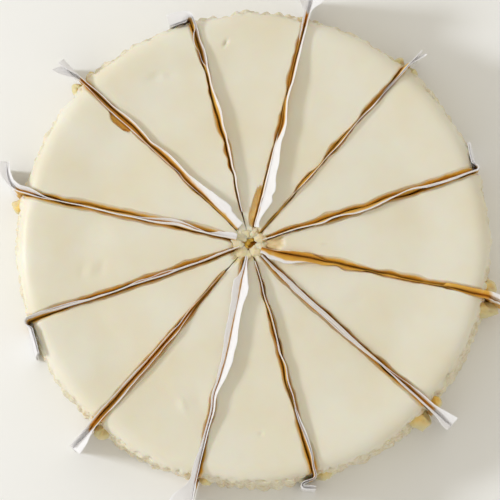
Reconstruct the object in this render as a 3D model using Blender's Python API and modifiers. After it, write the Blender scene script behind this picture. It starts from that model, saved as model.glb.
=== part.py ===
"""Baked cheesecake, cut into twelve slices with a folded paper slip standing in each cut.

Metres, +Z up. The cake stands on z = 0 and the whole is centred on its bounding box.
Each slice is one solid cut from one turned cake body. Each slip is one strip of paper
folded along its bottom, so that two leaves stand in the cut and stick out past the rim.
"""

import math
import random

import bmesh
import bpy
from mathutils import Vector

MM = 0.001

# The cake body, a turned shape.
TOP_Z = 46.4 * MM
FOOT_R = 125.2 * MM
# Half profile, radius and height in mm, from the middle of the top round to the underside.
PROFILE_MM = (
    (0.0, 45.2),
    (87.0, 45.3),
    (104.0, 46.7),
    (115.0, 47.1),
    (120.0, 45.7),
    (122.8, 43.4),
    (124.4, 40.0),
    (125.2, 33.0),
    (126.0, 20.0),
    (126.4, 6.0),
    (126.2, 1.6),
    (125.0, 0.0),
    (0.0, 0.0),
)
BODY_STEPS = 96
RIPPLE_R = 0.55 * MM  # in and out of the rim, left by the lining of the tin
RIPPLE_WAVES = 45
CAKE_AXIS = Vector((1.8 * MM, -1.6 * MM))  # the tin's axis from the point where the cuts meet

# Clearances and the paper.
CLEAR = 0.35 * MM
PAPER_T = 0.30 * MM
PAPER_FOLD_Z = 0.7 * MM
PAPER_STAND = 4.6 * MM  # how far the leaves stand above the cake's top
FOLD_HALF = 0.35 * MM
STATIONS_IN = 8
STATIONS_OUT = 5

# One row per cut, going clockwise seen from above:
# bearing: degrees anticlockwise from +X, looking down
# gap: width of the cut at the rim, mm
# inner: where the slip starts, mm from the meeting point
# out: how far it sticks out past the rim, mm
# hook: how far the end turns, degrees, + to the left looking outwards
# lean_l, lean_r: how far the left and right leaf lean over the slice beside them, mm
# lean_at: where the lean is greatest, as a share of the cut's length
# end_l, end_r: how far the leaf ends open to the left, mm (- is to the right)
CUTS = (
    dict(bearing=104.7, gap=4.2, inner=18.0, out=9.0, hook=95.0, lean_l=0.2, lean_r=0.4,
         lean_at=0.5, end_l=1.6, end_r=-0.8),
    dict(bearing=76.0, gap=4.2, inner=12.0, out=13.0, hook=0.0, lean_l=0.2, lean_r=4.6,
         lean_at=0.30, end_l=8.0, end_r=-7.0),
    dict(bearing=48.7, gap=3.2, inner=9.0, out=10.0, hook=0.0, lean_l=0.2, lean_r=0.6,
         lean_at=0.6, end_l=2.0, end_r=-2.0),
    dict(bearing=18.0, gap=4.0, inner=11.0, out=15.0, hook=78.0, lean_l=0.2, lean_r=2.4,
         lean_at=0.75, end_l=1.0, end_r=-0.8),
    dict(bearing=-13.0, gap=4.8, inner=9.0, out=10.0, hook=0.0, lean_l=2.0, lean_r=0.3,
         lean_at=0.15, end_l=1.2, end_r=-0.8),
    dict(bearing=-42.4, gap=4.0, inner=12.0, out=14.0, hook=0.0, lean_l=1.0, lean_r=1.0,
         lean_at=0.3, end_l=6.6, end_r=-1.6),
    dict(bearing=-74.6, gap=3.8, inner=10.0, out=14.0, hook=-60.0, lean_l=1.0, lean_r=0.4,
         lean_at=0.2, end_l=3.2, end_r=-0.8),
    dict(bearing=-102.8, gap=4.2, inner=12.0, out=16.0, hook=0.0, lean_l=1.2, lean_r=5.0,
         lean_at=0.18, end_l=2.5, end_r=-9.0),
    dict(bearing=-131.0, gap=4.2, inner=16.0, out=15.0, hook=0.0, lean_l=0.6, lean_r=0.6,
         lean_at=0.6, end_l=5.6, end_r=-1.5),
    dict(bearing=-160.8, gap=3.8, inner=9.0, out=16.0, hook=76.0, lean_l=1.8, lean_r=0.3,
         lean_at=0.55, end_l=0.8, end_r=-1.0),
    dict(bearing=-193.0, gap=3.8, inner=12.0, out=17.0, hook=-72.0, lean_l=0.4, lean_r=1.2,
         lean_at=0.2, end_l=1.2, end_r=-2.4),
    dict(bearing=-224.6, gap=4.0, inner=13.0, out=13.0, hook=0.0, lean_l=0.4, lean_r=4.6,
         lean_at=0.22, end_l=8.0, end_r=-1.0),
)

# Where each slice's point has broken off, mm from the meeting point, and how far the
# slice has been moved outwards, mm. Slice n lies between cut n and cut n + 1.
SLICES = (
    dict(tip=8.0, moved=0.4),
    dict(tip=7.2, moved=0.2),
    dict(tip=7.6, moved=0.6),
    dict(tip=9.5, moved=0.9),
    dict(tip=7.4, moved=0.3),
    dict(tip=7.0, moved=0.7),
    dict(tip=8.0, moved=0.8),
    dict(tip=7.4, moved=0.5),
    dict(tip=8.4, moved=0.2),
    dict(tip=7.6, moved=0.3),
    dict(tip=9.0, moved=0.2),
    dict(tip=7.8, moved=0.5),
)

# Soft cake squeezed out of the rim beside a slip: the slice it belongs to, the cut it
# sits at, its reach past the rim, its width and its height range, mm.
LUMPS = (
    dict(slice=2, cut=2, reach=3.2, wide=6.5, low=22.0, high=39.0),
    dict(slice=3, cut=2, reach=2.8, wide=5.5, low=24.0, high=40.0),
    dict(slice=4, cut=4, reach=4.8, wide=8.5, low=15.0, high=36.0),
    dict(slice=5, cut=4, reach=6.0, wide=7.5, low=12.0, high=34.0),
    dict(slice=5, cut=5, reach=3.2, wide=5.5, low=20.0, high=37.0),
    dict(slice=6, cut=5, reach=6.5, wide=9.0, low=10.0, high=33.0),
    dict(slice=8, cut=8, reach=4.6, wide=8.0, low=12.0, high=34.0),
    dict(slice=10, cut=10, reach=4.6, wide=8.5, low=14.0, high=36.0),
    dict(slice=11, cut=11, reach=4.0, wide=6.5, low=16.0, high=37.0),
    dict(slice=12, cut=11, reach=4.4, wide=6.0, low=18.0, high=38.0),
)

COLOURS = {
    "cheesecake": ((0.76, 0.68, 0.50, 1.0), 0.45),
    "paper": ((0.84, 0.84, 0.84, 1.0), 0.6),
}


def clear_scene():
    """Remove every object, mesh, curve, material and extra collection."""
    for obj in list(bpy.data.objects):
        bpy.data.objects.remove(obj, do_unlink=True)
    for coll in list(bpy.data.collections):
        bpy.data.collections.remove(coll)
    for store in (bpy.data.meshes, bpy.data.curves, bpy.data.materials):
        for block in list(store):
            store.remove(block)


def make_collection(name):
    """Add a collection to the scene."""
    coll = bpy.data.collections.new(name)
    bpy.context.scene.collection.children.link(coll)
    return coll


def make_material(name):
    """One Principled material from the colour table."""
    colour, rough = COLOURS[name]
    mat = bpy.data.materials.new(name)
    mat.use_nodes = True
    shader = mat.node_tree.nodes["Principled BSDF"]
    shader.inputs["Base Color"].default_value = colour
    shader.inputs["Roughness"].default_value = rough
    shader.inputs["Metallic"].default_value = 0.0
    mat.diffuse_color = colour
    return mat


def direction(degrees):
    """Unit vector in plan at a bearing."""
    angle = math.radians(degrees)
    return Vector((math.cos(angle), math.sin(angle)))


def leftwards(vec):
    """The vector turned a quarter turn to the left in plan."""
    return Vector((-vec.y, vec.x))


def apply_modifiers(obj):
    """Replace an object's data with its evaluated mesh."""
    graph = bpy.context.evaluated_depsgraph_get()
    mesh = bpy.data.meshes.new_from_object(obj.evaluated_get(graph))
    old = obj.data
    obj.modifiers.clear()
    if obj.type == "MESH":
        obj.data = mesh
        return obj
    twin = bpy.data.objects.new(obj.name, mesh)
    for coll in obj.users_collection:
        coll.objects.link(twin)
    twin.matrix_world = obj.matrix_world
    bpy.data.objects.remove(obj, do_unlink=True)
    bpy.data.curves.remove(old)
    return twin


def boolean(obj, cutter, operation):
    """Apply one exact Boolean to an object."""
    mod = obj.modifiers.new(operation.lower(), "BOOLEAN")
    mod.operation = operation
    mod.solver = "EXACT"
    mod.object = cutter
    bpy.context.view_layer.update()
    apply_modifiers(obj)


def clean(obj):
    """Weld stray doubles, drop slivers and turn every face outwards."""
    bm = bmesh.new()
    bm.from_mesh(obj.data)
    bmesh.ops.remove_doubles(bm, verts=bm.verts, dist=0.00002)
    bmesh.ops.dissolve_degenerate(bm, dist=0.00002, edges=bm.edges)
    bmesh.ops.triangulate(bm, faces=[f for f in bm.faces if len(f.verts) > 4])
    bmesh.ops.recalc_face_normals(bm, faces=bm.faces)
    bm.to_mesh(obj.data)
    bm.free()


def turned_body(coll):
    """The whole cake before it is cut, turned from its half profile."""
    mesh = bpy.data.meshes.new("cake_body")
    points = [(r * MM, 0.0, z * MM) for r, z in PROFILE_MM]
    edges = [(i, i + 1) for i in range(len(points) - 1)]
    mesh.from_pydata(points, edges, [])
    body = bpy.data.objects.new("cake_body", mesh)
    coll.objects.link(body)
    screw = body.modifiers.new("turn", "SCREW")
    screw.axis = "Z"
    screw.angle = math.tau
    screw.steps = BODY_STEPS
    screw.render_steps = BODY_STEPS
    screw.use_merge_vertices = True
    screw.merge_threshold = 0.00001
    bpy.context.view_layer.update()
    apply_modifiers(body)
    clean(body)
    for vert in body.data.vertices:
        radius = math.hypot(vert.co.x, vert.co.y)
        if radius > 0.1 and vert.co.z < 0.045:
            angle = math.atan2(vert.co.y, vert.co.x)
            wave = math.sin(RIPPLE_WAVES * angle) + 0.7 * math.sin(11 * angle + 1.0)
            scale = 1.0 + RIPPLE_R * wave / radius
            vert.co.x *= scale
            vert.co.y *= scale
        vert.co.x += CAKE_AXIS.x
        vert.co.y += CAKE_AXIS.y
    body.hide_render = True
    body.display_type = "WIRE"
    return body


def cut_line(cut, along, seed):
    """A point on a cut's centre line in plan, a little wavy, and its heading."""
    heading = direction(cut["bearing"])
    share = min(max(along / 0.126, 0.0), 1.0)
    sway = 0.5 * MM * math.sin(math.tau * (1.15 * share + 0.37 * seed)) * math.sin(math.pi * share)
    return heading * along + leftwards(heading) * sway, heading


def half_gap(cut, along):
    """Half the width of a cut, narrower towards the middle of the cake."""
    share = min(max(along / 0.126, 0.0), 1.0)
    return (1.35 * MM) + (cut["gap"] * MM * 0.5 - 1.35 * MM) * share ** 0.7


def slice_outline(index):
    """Plan outline of one slice, from its broken tip out past the rim and back."""
    row = SLICES[index]
    first = CUTS[index]
    second = CUTS[(index + 1) % len(CUTS)]
    middle = direction(first["bearing"] - 0.5 * ((first["bearing"] - second["bearing"]) % 360.0))
    push = middle * (row["moved"] * MM)
    far = [row["tip"] * MM, 0.026, 0.045, 0.066, 0.086, 0.105, 0.122, 0.140]
    near_side = []
    away_side = []
    for along in far:
        point, heading = cut_line(first, along, index)
        near_side.append(point - leftwards(heading) * half_gap(first, along) + push)
        point, heading = cut_line(second, along, (index + 1) % len(CUTS))
        away_side.append(point + leftwards(heading) * half_gap(second, along) + push)
    nose = (near_side[0] + away_side[0]) * 0.5 - middle * (0.25 * (near_side[0] - away_side[0]).length)
    return near_side + away_side[::-1] + [nose]


def slice_solid(index, body, tools, parts):
    """Cut one slice out of the turned body with an upright prism."""
    name = f"slice_{index + 1:02d}"
    curve = bpy.data.curves.new(f"wedge_{index + 1:02d}", "CURVE")
    curve.dimensions = "2D"
    curve.fill_mode = "BOTH"
    curve.extrude = 0.05
    spline = curve.splines.new("POLY")
    outline = slice_outline(index)
    spline.points.add(len(outline) - 1)
    for slot, point in zip(spline.points, outline):
        slot.co = (point.x, point.y, 0.0, 1.0)
    spline.use_cyclic_u = True
    wedge = bpy.data.objects.new(curve.name, curve)
    tools.objects.link(wedge)
    wedge.location.z = 0.03
    bpy.context.view_layer.update()
    wedge = apply_modifiers(wedge)
    clean(wedge)
    wedge.hide_render = True
    wedge.display_type = "WIRE"
    obj = bpy.data.objects.new(name, body.data.copy())
    parts.objects.link(obj)
    boolean(obj, wedge, "INTERSECT")
    clean(obj)
    return obj


def lump_solid(row, tools):
    """A squeezed-out lump of soft cake, sunk into the rim beside its cut."""
    cut = CUTS[row["cut"]]
    heading = direction(cut["bearing"])
    side = leftwards(heading) if row["slice"] % 12 == row["cut"] % 12 else -leftwards(heading)
    half_wide = 0.5 * row["wide"] * MM
    half_high = 0.5 * (row["high"] - row["low"]) * MM
    # The rim's distance from the meeting point along this cut.
    along = heading.dot(CAKE_AXIS) + math.sqrt(0.1252 ** 2 - leftwards(heading).dot(CAKE_AXIS) ** 2)
    depth = row["reach"] * MM + 2.0 * MM
    centre = heading * (along - 2.0 * MM)
    centre += side * (half_gap(cut, 0.126) + half_wide + 0.2 * MM)
    bm = bmesh.new()
    bmesh.ops.create_uvsphere(bm, u_segments=10, v_segments=6, radius=1.0)
    for vert in bm.verts:
        local = vert.co.copy()
        spot = centre + heading * (local.x * depth) + side * (local.y * half_wide)
        height = 0.5 * (row["high"] + row["low"]) * MM + local.z * half_high
        vert.co = (spot.x, spot.y, height)
    bmesh.ops.recalc_face_normals(bm, faces=bm.faces)
    mesh = bpy.data.meshes.new("lump")
    bm.to_mesh(mesh)
    bm.free()
    obj = bpy.data.objects.new("lump", mesh)
    obj.hide_render = True
    obj.display_type = "WIRE"
    tools.objects.link(obj)
    return obj


def rim_distance(cut):
    """How far the cake's foot lies from the meeting point along a cut."""
    heading = direction(cut["bearing"])
    across = leftwards(heading).dot(CAKE_AXIS)
    return heading.dot(CAKE_AXIS) + math.sqrt(0.1272 ** 2 - across ** 2)


def slip_stations(index):
    """Plan points, headings and the share past the rim along one paper slip."""
    cut = CUTS[index]
    rim = rim_distance(cut)
    start = cut["inner"] * MM
    stations = []
    for step in range(STATIONS_IN + 1):
        along = start + (rim - start) * step / STATIONS_IN
        point, heading = cut_line(cut, along, index)
        stations.append((point, heading, along / rim, 0.0))
    point, heading = stations[-1][0], stations[-1][1]
    length = cut["out"] * MM
    bearing = cut["bearing"]
    for step in range(STATIONS_OUT):
        turn = cut["hook"] * ((step + 0.5) / STATIONS_OUT) ** 0.8
        heading = direction(bearing + turn)
        point = point + heading * (length / STATIONS_OUT)
        stations.append((point, heading, 1.0, (step + 1) / STATIONS_OUT))
    return stations


def leaf_section(cut, share, past, side, rng):
    """Offsets and heights up one leaf, from just above the fold to its top edge."""
    lean = cut["lean_l"] if side > 0 else cut["lean_r"]
    end = cut["end_l"] * side if side > 0 else -cut["end_r"]
    width = 0.24 if past == 0.0 else 0.2
    lean_now = lean * MM * math.exp(-((share - cut["lean_at"]) / width) ** 2)
    room = half_gap(cut, share * 0.126) - PAPER_T * 0.5 - CLEAR
    inside = min(room, 0.62 * MM + 0.25 * MM * share)
    wave = rng.uniform(-0.12, 0.12) * MM
    low = FOLD_HALF
    middle = min(room, inside * 0.8 + wave)
    neck = min(room, inside + wave)
    top = neck + 0.2 * MM + lean_now
    if past > 0.0:
        spread = end * MM * past ** 1.3
        middle += 0.5 * spread
        neck += 0.9 * spread
        top += spread
    stand = math.sqrt(max(PAPER_STAND ** 2 - min(lean_now, 4.4 * MM) ** 2, (1.4 * MM) ** 2))
    neck_z = TOP_Z + 0.9 * MM
    return (
        (low, PAPER_FOLD_Z + 1.0 * MM),
        (middle, 22.0 * MM),
        (neck, neck_z),
        (top, neck_z + stand),
    )


def slip_solid(index, parts):
    """One folded paper slip: a grid bent to shape, then given its thickness."""
    cut = CUTS[index]
    rng = random.Random(100 + index)
    rows = []
    for point, heading, share, past in slip_stations(index):
        left = leaf_section(cut, share, past, 1, rng)
        right = leaf_section(cut, share, past, -1, rng)
        across = leftwards(heading)
        section = [(off, z) for off, z in reversed(left)]
        section.append((0.0, PAPER_FOLD_Z))
        section += [(-off, z) for off, z in right]
        rows.append([(point + across * off, z) for off, z in section])
    mesh = bpy.data.meshes.new(f"paper_{index + 1:02d}")
    verts = [(p.x, p.y, z) for row in rows for p, z in row]
    wide = len(rows[0])
    faces = []
    for i in range(len(rows) - 1):
        for j in range(wide - 1):
            a = i * wide + j
            faces.append((a, a + 1, a + wide + 1, a + wide))
    mesh.from_pydata(verts, [], faces)
    obj = bpy.data.objects.new(mesh.name, mesh)
    parts.objects.link(obj)
    shell = obj.modifiers.new("thickness", "SOLIDIFY")
    shell.thickness = PAPER_T
    shell.offset = 0.0
    shell.use_even_offset = False
    bpy.context.view_layer.update()
    apply_modifiers(obj)
    clean(obj)
    return obj


def main():
    """Build every slice and slip, then centre the whole on its bounding box."""
    clear_scene()
    bpy.context.scene.unit_settings.system = "METRIC"
    parts = make_collection("baked_cheesecake")
    tools = make_collection("cutters")
    cake_mat = make_material("cheesecake")
    paper_mat = make_material("paper")
    body = turned_body(tools)
    solids = []
    for index in range(len(SLICES)):
        obj = slice_solid(index, body, tools, parts)
        for row in LUMPS:
            if row["slice"] == index + 1:
                boolean(obj, lump_solid(row, tools), "UNION")
                clean(obj)
        obj.data.materials.clear()
        obj.data.materials.append(cake_mat)
        solids.append(obj)
    for index in range(len(CUTS)):
        obj = slip_solid(index, parts)
        obj.data.materials.clear()
        obj.data.materials.append(paper_mat)
        solids.append(obj)
    corners = [v.co for obj in solids for v in obj.data.vertices]
    mid_x = 0.5 * (min(c.x for c in corners) + max(c.x for c in corners))
    mid_y = 0.5 * (min(c.y for c in corners) + max(c.y for c in corners))
    for obj in solids:
        for vert in obj.data.vertices:
            vert.co.x -= mid_x
            vert.co.y -= mid_y
        obj.data.update()
        obj.data.shade_smooth()
        obj.data.set_sharp_from_angle(angle=math.radians(38.0))
        print(obj.name, len(obj.data.polygons), "faces")
    print("centre moved by", round(mid_x * 1000, 3), round(mid_y * 1000, 3), "mm")


main()
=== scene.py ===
"""Baked cheesecake, cut into twelve slices, with a folded paper slip in each cut.

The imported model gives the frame. Every slice and every slip is built again here as a
fine mesh in the place of its solid: the baked top with its dimples, the torn edges of
the cuts, the crumbly side, and the bends of the paper. Sizes are in millimetres until
a mesh is written, and the frame is in metres.
"""

import logging
import math
from dataclasses import dataclass
from enum import Enum
from typing import Any, Iterable, Sequence

import bpy
import numpy as np
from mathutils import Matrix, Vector


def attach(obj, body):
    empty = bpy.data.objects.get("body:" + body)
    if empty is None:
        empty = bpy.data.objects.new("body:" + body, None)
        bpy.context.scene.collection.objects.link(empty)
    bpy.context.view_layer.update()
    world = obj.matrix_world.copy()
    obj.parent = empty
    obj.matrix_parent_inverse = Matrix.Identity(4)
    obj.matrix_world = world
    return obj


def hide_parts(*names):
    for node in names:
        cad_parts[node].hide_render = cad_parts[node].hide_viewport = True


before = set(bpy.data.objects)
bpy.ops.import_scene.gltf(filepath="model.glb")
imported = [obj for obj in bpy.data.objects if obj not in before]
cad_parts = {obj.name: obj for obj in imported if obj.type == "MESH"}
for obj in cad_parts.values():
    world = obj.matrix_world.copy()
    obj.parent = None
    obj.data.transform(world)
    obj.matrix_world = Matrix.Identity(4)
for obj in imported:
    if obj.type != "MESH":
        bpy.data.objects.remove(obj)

log = logging.getLogger("cheesecake")

MM = 0.001
# Where the twelve cuts meet, and the axis of the tin, in the frame, mm.
MEETING = np.array((-1.138, 2.170))
TIN_AXIS = np.array((0.662, 0.570))
TOP_Z = 46.6
MIDDLE_Z = 45.2  # the baked top sinks a little inside its raised edge
CREST_Z = 47.5
CORNER_R = 124.5  # where the rounded shoulder turns into the side
CORNER_Z = 41.5
FOOT_R = 126.4
FOLD_Z = 0.7

Track = tuple[tuple[float, float], ...]


class Side(Enum):
    """Which side of a cut, looking outwards from the middle of the cake."""

    LEFT = 1
    RIGHT = -1


class Lay(Enum):
    """How a slip's end lies once it is past the rim."""

    STRAIGHT = "straight"
    TURNED = "turned"
    DOUBLED = "doubled back"


# ---------------------------------------------------------------- small mathematics


def follow(track: Track, along: np.ndarray) -> np.ndarray:
    """Read a track of (distance, value) pairs as a smooth curve.

    Args:
        track: Pairs in rising order of distance.
        along: Distances to read at.

    Returns:
        The value at each distance; the ends are held.
    """
    xs = np.array([pair[0] for pair in track], float)
    ys = np.array([pair[1] for pair in track], float)
    if len(xs) == 1:
        return np.full(np.shape(along), ys[0])
    slopes = np.gradient(ys, xs)
    slopes[0] = slopes[-1] = 0.0
    at = np.clip(along, xs[0], xs[-1])
    cell = np.clip(np.searchsorted(xs, at, side="right") - 1, 0, len(xs) - 2)
    span = xs[cell + 1] - xs[cell]
    q = (at - xs[cell]) / span
    rise = (1 + 2 * q) * (1 - q) ** 2 * ys[cell] + q * q * (3 - 2 * q) * ys[cell + 1]
    return rise + span * (q * (1 - q) ** 2 * slopes[cell] - q * q * (1 - q) * slopes[cell + 1])


def ease(low: float, high: float, value: np.ndarray) -> np.ndarray:
    """Rise smoothly from 0 at low to 1 at high."""
    q = np.clip((value - low) / (high - low), 0.0, 1.0)
    return q * q * (3.0 - 2.0 * q)


def grain(points: np.ndarray, size: float, seed: int) -> np.ndarray:
    """Smooth random values from -1 to 1 over points in space.

    Args:
        points: Array of n by 3, mm.
        size: Width of one lump of the pattern, mm.
        seed: Chooses the pattern.

    Returns:
        One value a point.
    """
    scaled = points / size + 1000.0
    base = np.floor(scaled).astype(np.int64)
    part = scaled - base
    part = part * part * (3.0 - 2.0 * part)
    total = np.zeros(len(points))
    for corner in range(8):
        step = np.array((corner & 1, (corner >> 1) & 1, (corner >> 2) & 1))
        cell = base + step
        mixed = (cell[:, 0] * 374761393 + cell[:, 1] * 668265263 + cell[:, 2] * 144665 * 7919
                 + seed * 974634777) & 0xFFFFFFFF
        mixed = ((mixed ^ (mixed >> 13)) * 1274126177) & 0xFFFFFFFF
        value = ((mixed ^ (mixed >> 16)) & 0xFFFF) / 32767.5 - 1.0
        weight = np.prod(np.where(step == 1, part, 1.0 - part), axis=1)
        total += value * weight
    return total


def bearing_vectors(degrees: np.ndarray | float) -> np.ndarray:
    """Unit vectors in plan at the given bearings."""
    angle = np.radians(degrees)
    return np.stack((np.cos(angle), np.sin(angle)), axis=-1)


def quarter_left(vectors: np.ndarray) -> np.ndarray:
    """The vectors turned a quarter turn to the left in plan."""
    return np.stack((-vectors[..., 1], vectors[..., 0]), axis=-1)


def reach_to_circle(bearing: np.ndarray | float, radius: np.ndarray | float) -> np.ndarray:
    """Distance from where the cuts meet to a circle round the tin's axis.

    Args:
        bearing: Direction from the meeting point, degrees.
        radius: Radius of the circle, mm.

    Returns:
        The distance along that direction, mm.
    """
    heading = bearing_vectors(bearing)
    centre = TIN_AXIS - MEETING
    forward = heading @ centre
    across = quarter_left(heading) @ centre
    return forward + np.sqrt(np.asarray(radius) ** 2 - across ** 2)


# ---------------------------------------------------------------- meshes


def lattice_skin(cells: tuple[int, int, int]) -> tuple[np.ndarray, list[tuple[int, ...]]]:
    """The outer skin of a block of cells, as nodes and quads.

    Args:
        cells: How many cells the block has each way.

    Returns:
        The nodes' lattice numbers, n by 3, and the quads by node index.
    """
    nu, nv, nt = cells
    index = -np.ones((nu + 1, nv + 1, nt + 1), int)
    grid = np.indices(index.shape)
    skin = (grid[0] == 0) | (grid[0] == nu) | (grid[1] == 0) | (grid[1] == nv)
    skin |= (grid[2] == 0) | (grid[2] == nt)
    index[skin] = np.arange(skin.sum())
    nodes = np.stack([axis[skin] for axis in grid], axis=1)
    quads: list[tuple[int, ...]] = []
    for axis in range(3):
        for end in (0, -1):
            sheet = np.take(index, end, axis=axis)
            a, b = sheet[:-1, :-1].ravel(), sheet[1:, :-1].ravel()
            c, d = sheet[1:, 1:].ravel(), sheet[:-1, 1:].ravel()
            turn = (end == 0) != (axis == 1)
            loops = np.stack((a, d, c, b) if turn else (a, b, c, d), axis=1)
            quads += [tuple(int(i) for i in loop) for loop in loops]
    return nodes, quads


def write_mesh(name: str, points: np.ndarray, quads: Iterable[Sequence[int]],
               fields: dict[str, np.ndarray], sharp: float) -> bpy.types.Object:
    """Make an object from points in mm.

    Args:
        name: The object's name.
        points: Array of n by 3, mm.
        quads: Faces by point index.
        fields: Named values a point, kept for the finish.
        sharp: Angle above which an edge shows as an edge, degrees.

    Returns:
        The new object, linked to the scene.
    """
    mesh = bpy.data.meshes.new(name)
    mesh.from_pydata((points * MM).tolist(), [], [list(quad) for quad in quads])
    for label, values in fields.items():
        layer = mesh.attributes.new(label, "FLOAT", "POINT")
        layer.data.foreach_set("value", np.asarray(values, np.float32))
    mesh.shade_smooth()
    mesh.set_sharp_from_angle(angle=math.radians(sharp))
    mesh.update()
    obj = bpy.data.objects.new(name, mesh)
    bpy.context.scene.collection.objects.link(obj)
    return obj


def settle(obj: bpy.types.Object) -> None:
    """Turn an object's modifiers into its mesh.

    Args:
        obj: The object; its modifiers are gone afterwards.
    """
    graph = bpy.context.evaluated_depsgraph_get()
    obj.data = bpy.data.meshes.new_from_object(obj.evaluated_get(graph))
    obj.modifiers.clear()


# ---------------------------------------------------------------- finishes


def linear(code: str, alpha: float = 1.0) -> tuple[float, float, float, float]:
    """Turn an sRGB hex colour into linear values.

    Args:
        code: Six hex digits after a hash.
        alpha: Opacity.

    Returns:
        Red, green, blue and alpha.
    """
    values = [int(code[i:i + 2], 16) / 255.0 for i in (1, 3, 5)]
    curve = [v / 12.92 if v <= 0.04045 else ((v + 0.055) / 1.055) ** 2.4 for v in values]
    return curve[0], curve[1], curve[2], alpha


def add_node(tree: bpy.types.NodeTree, kind: str, settings: dict[str, Any] | None = None,
             **inputs: Any) -> bpy.types.Node:
    """Add one node with its settings, values and links.

    Args:
        tree: The node tree.
        kind: The node's type name.
        settings: Properties of the node; "ramp" holds colour stops.
        inputs: Socket values or output sockets to link; in_0 is the first socket, and an
            underscore in any other name stands for a space.

    Returns:
        The new node.
    """
    node = tree.nodes.new(kind)
    for key, value in (settings or {}).items():
        if key == "ramp":
            stops = node.color_ramp.elements
            while len(stops) < len(value):
                stops.new(0.5)
            for stop, (place, colour) in zip(stops, value):
                stop.position = place
                stop.color = colour
        else:
            setattr(node, key, value)
    for key, value in inputs.items():
        socket = node.inputs[int(key[3:]) if key.startswith("in_") else key.replace("_", " ")]
        if isinstance(value, bpy.types.NodeSocket):
            tree.links.new(value, socket)
        else:
            socket.default_value = value
    return node


def new_material(name: str) -> tuple[bpy.types.Material, bpy.types.NodeTree, bpy.types.Node]:
    """Make an empty node material.

    Args:
        name: The material's name.

    Returns:
        The material, its node tree and its output node.
    """
    material = bpy.data.materials.new(name)
    material.use_nodes = True
    material.node_tree.nodes.clear()
    output = add_node(material.node_tree, "ShaderNodeOutputMaterial")
    return material, material.node_tree, output


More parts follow.
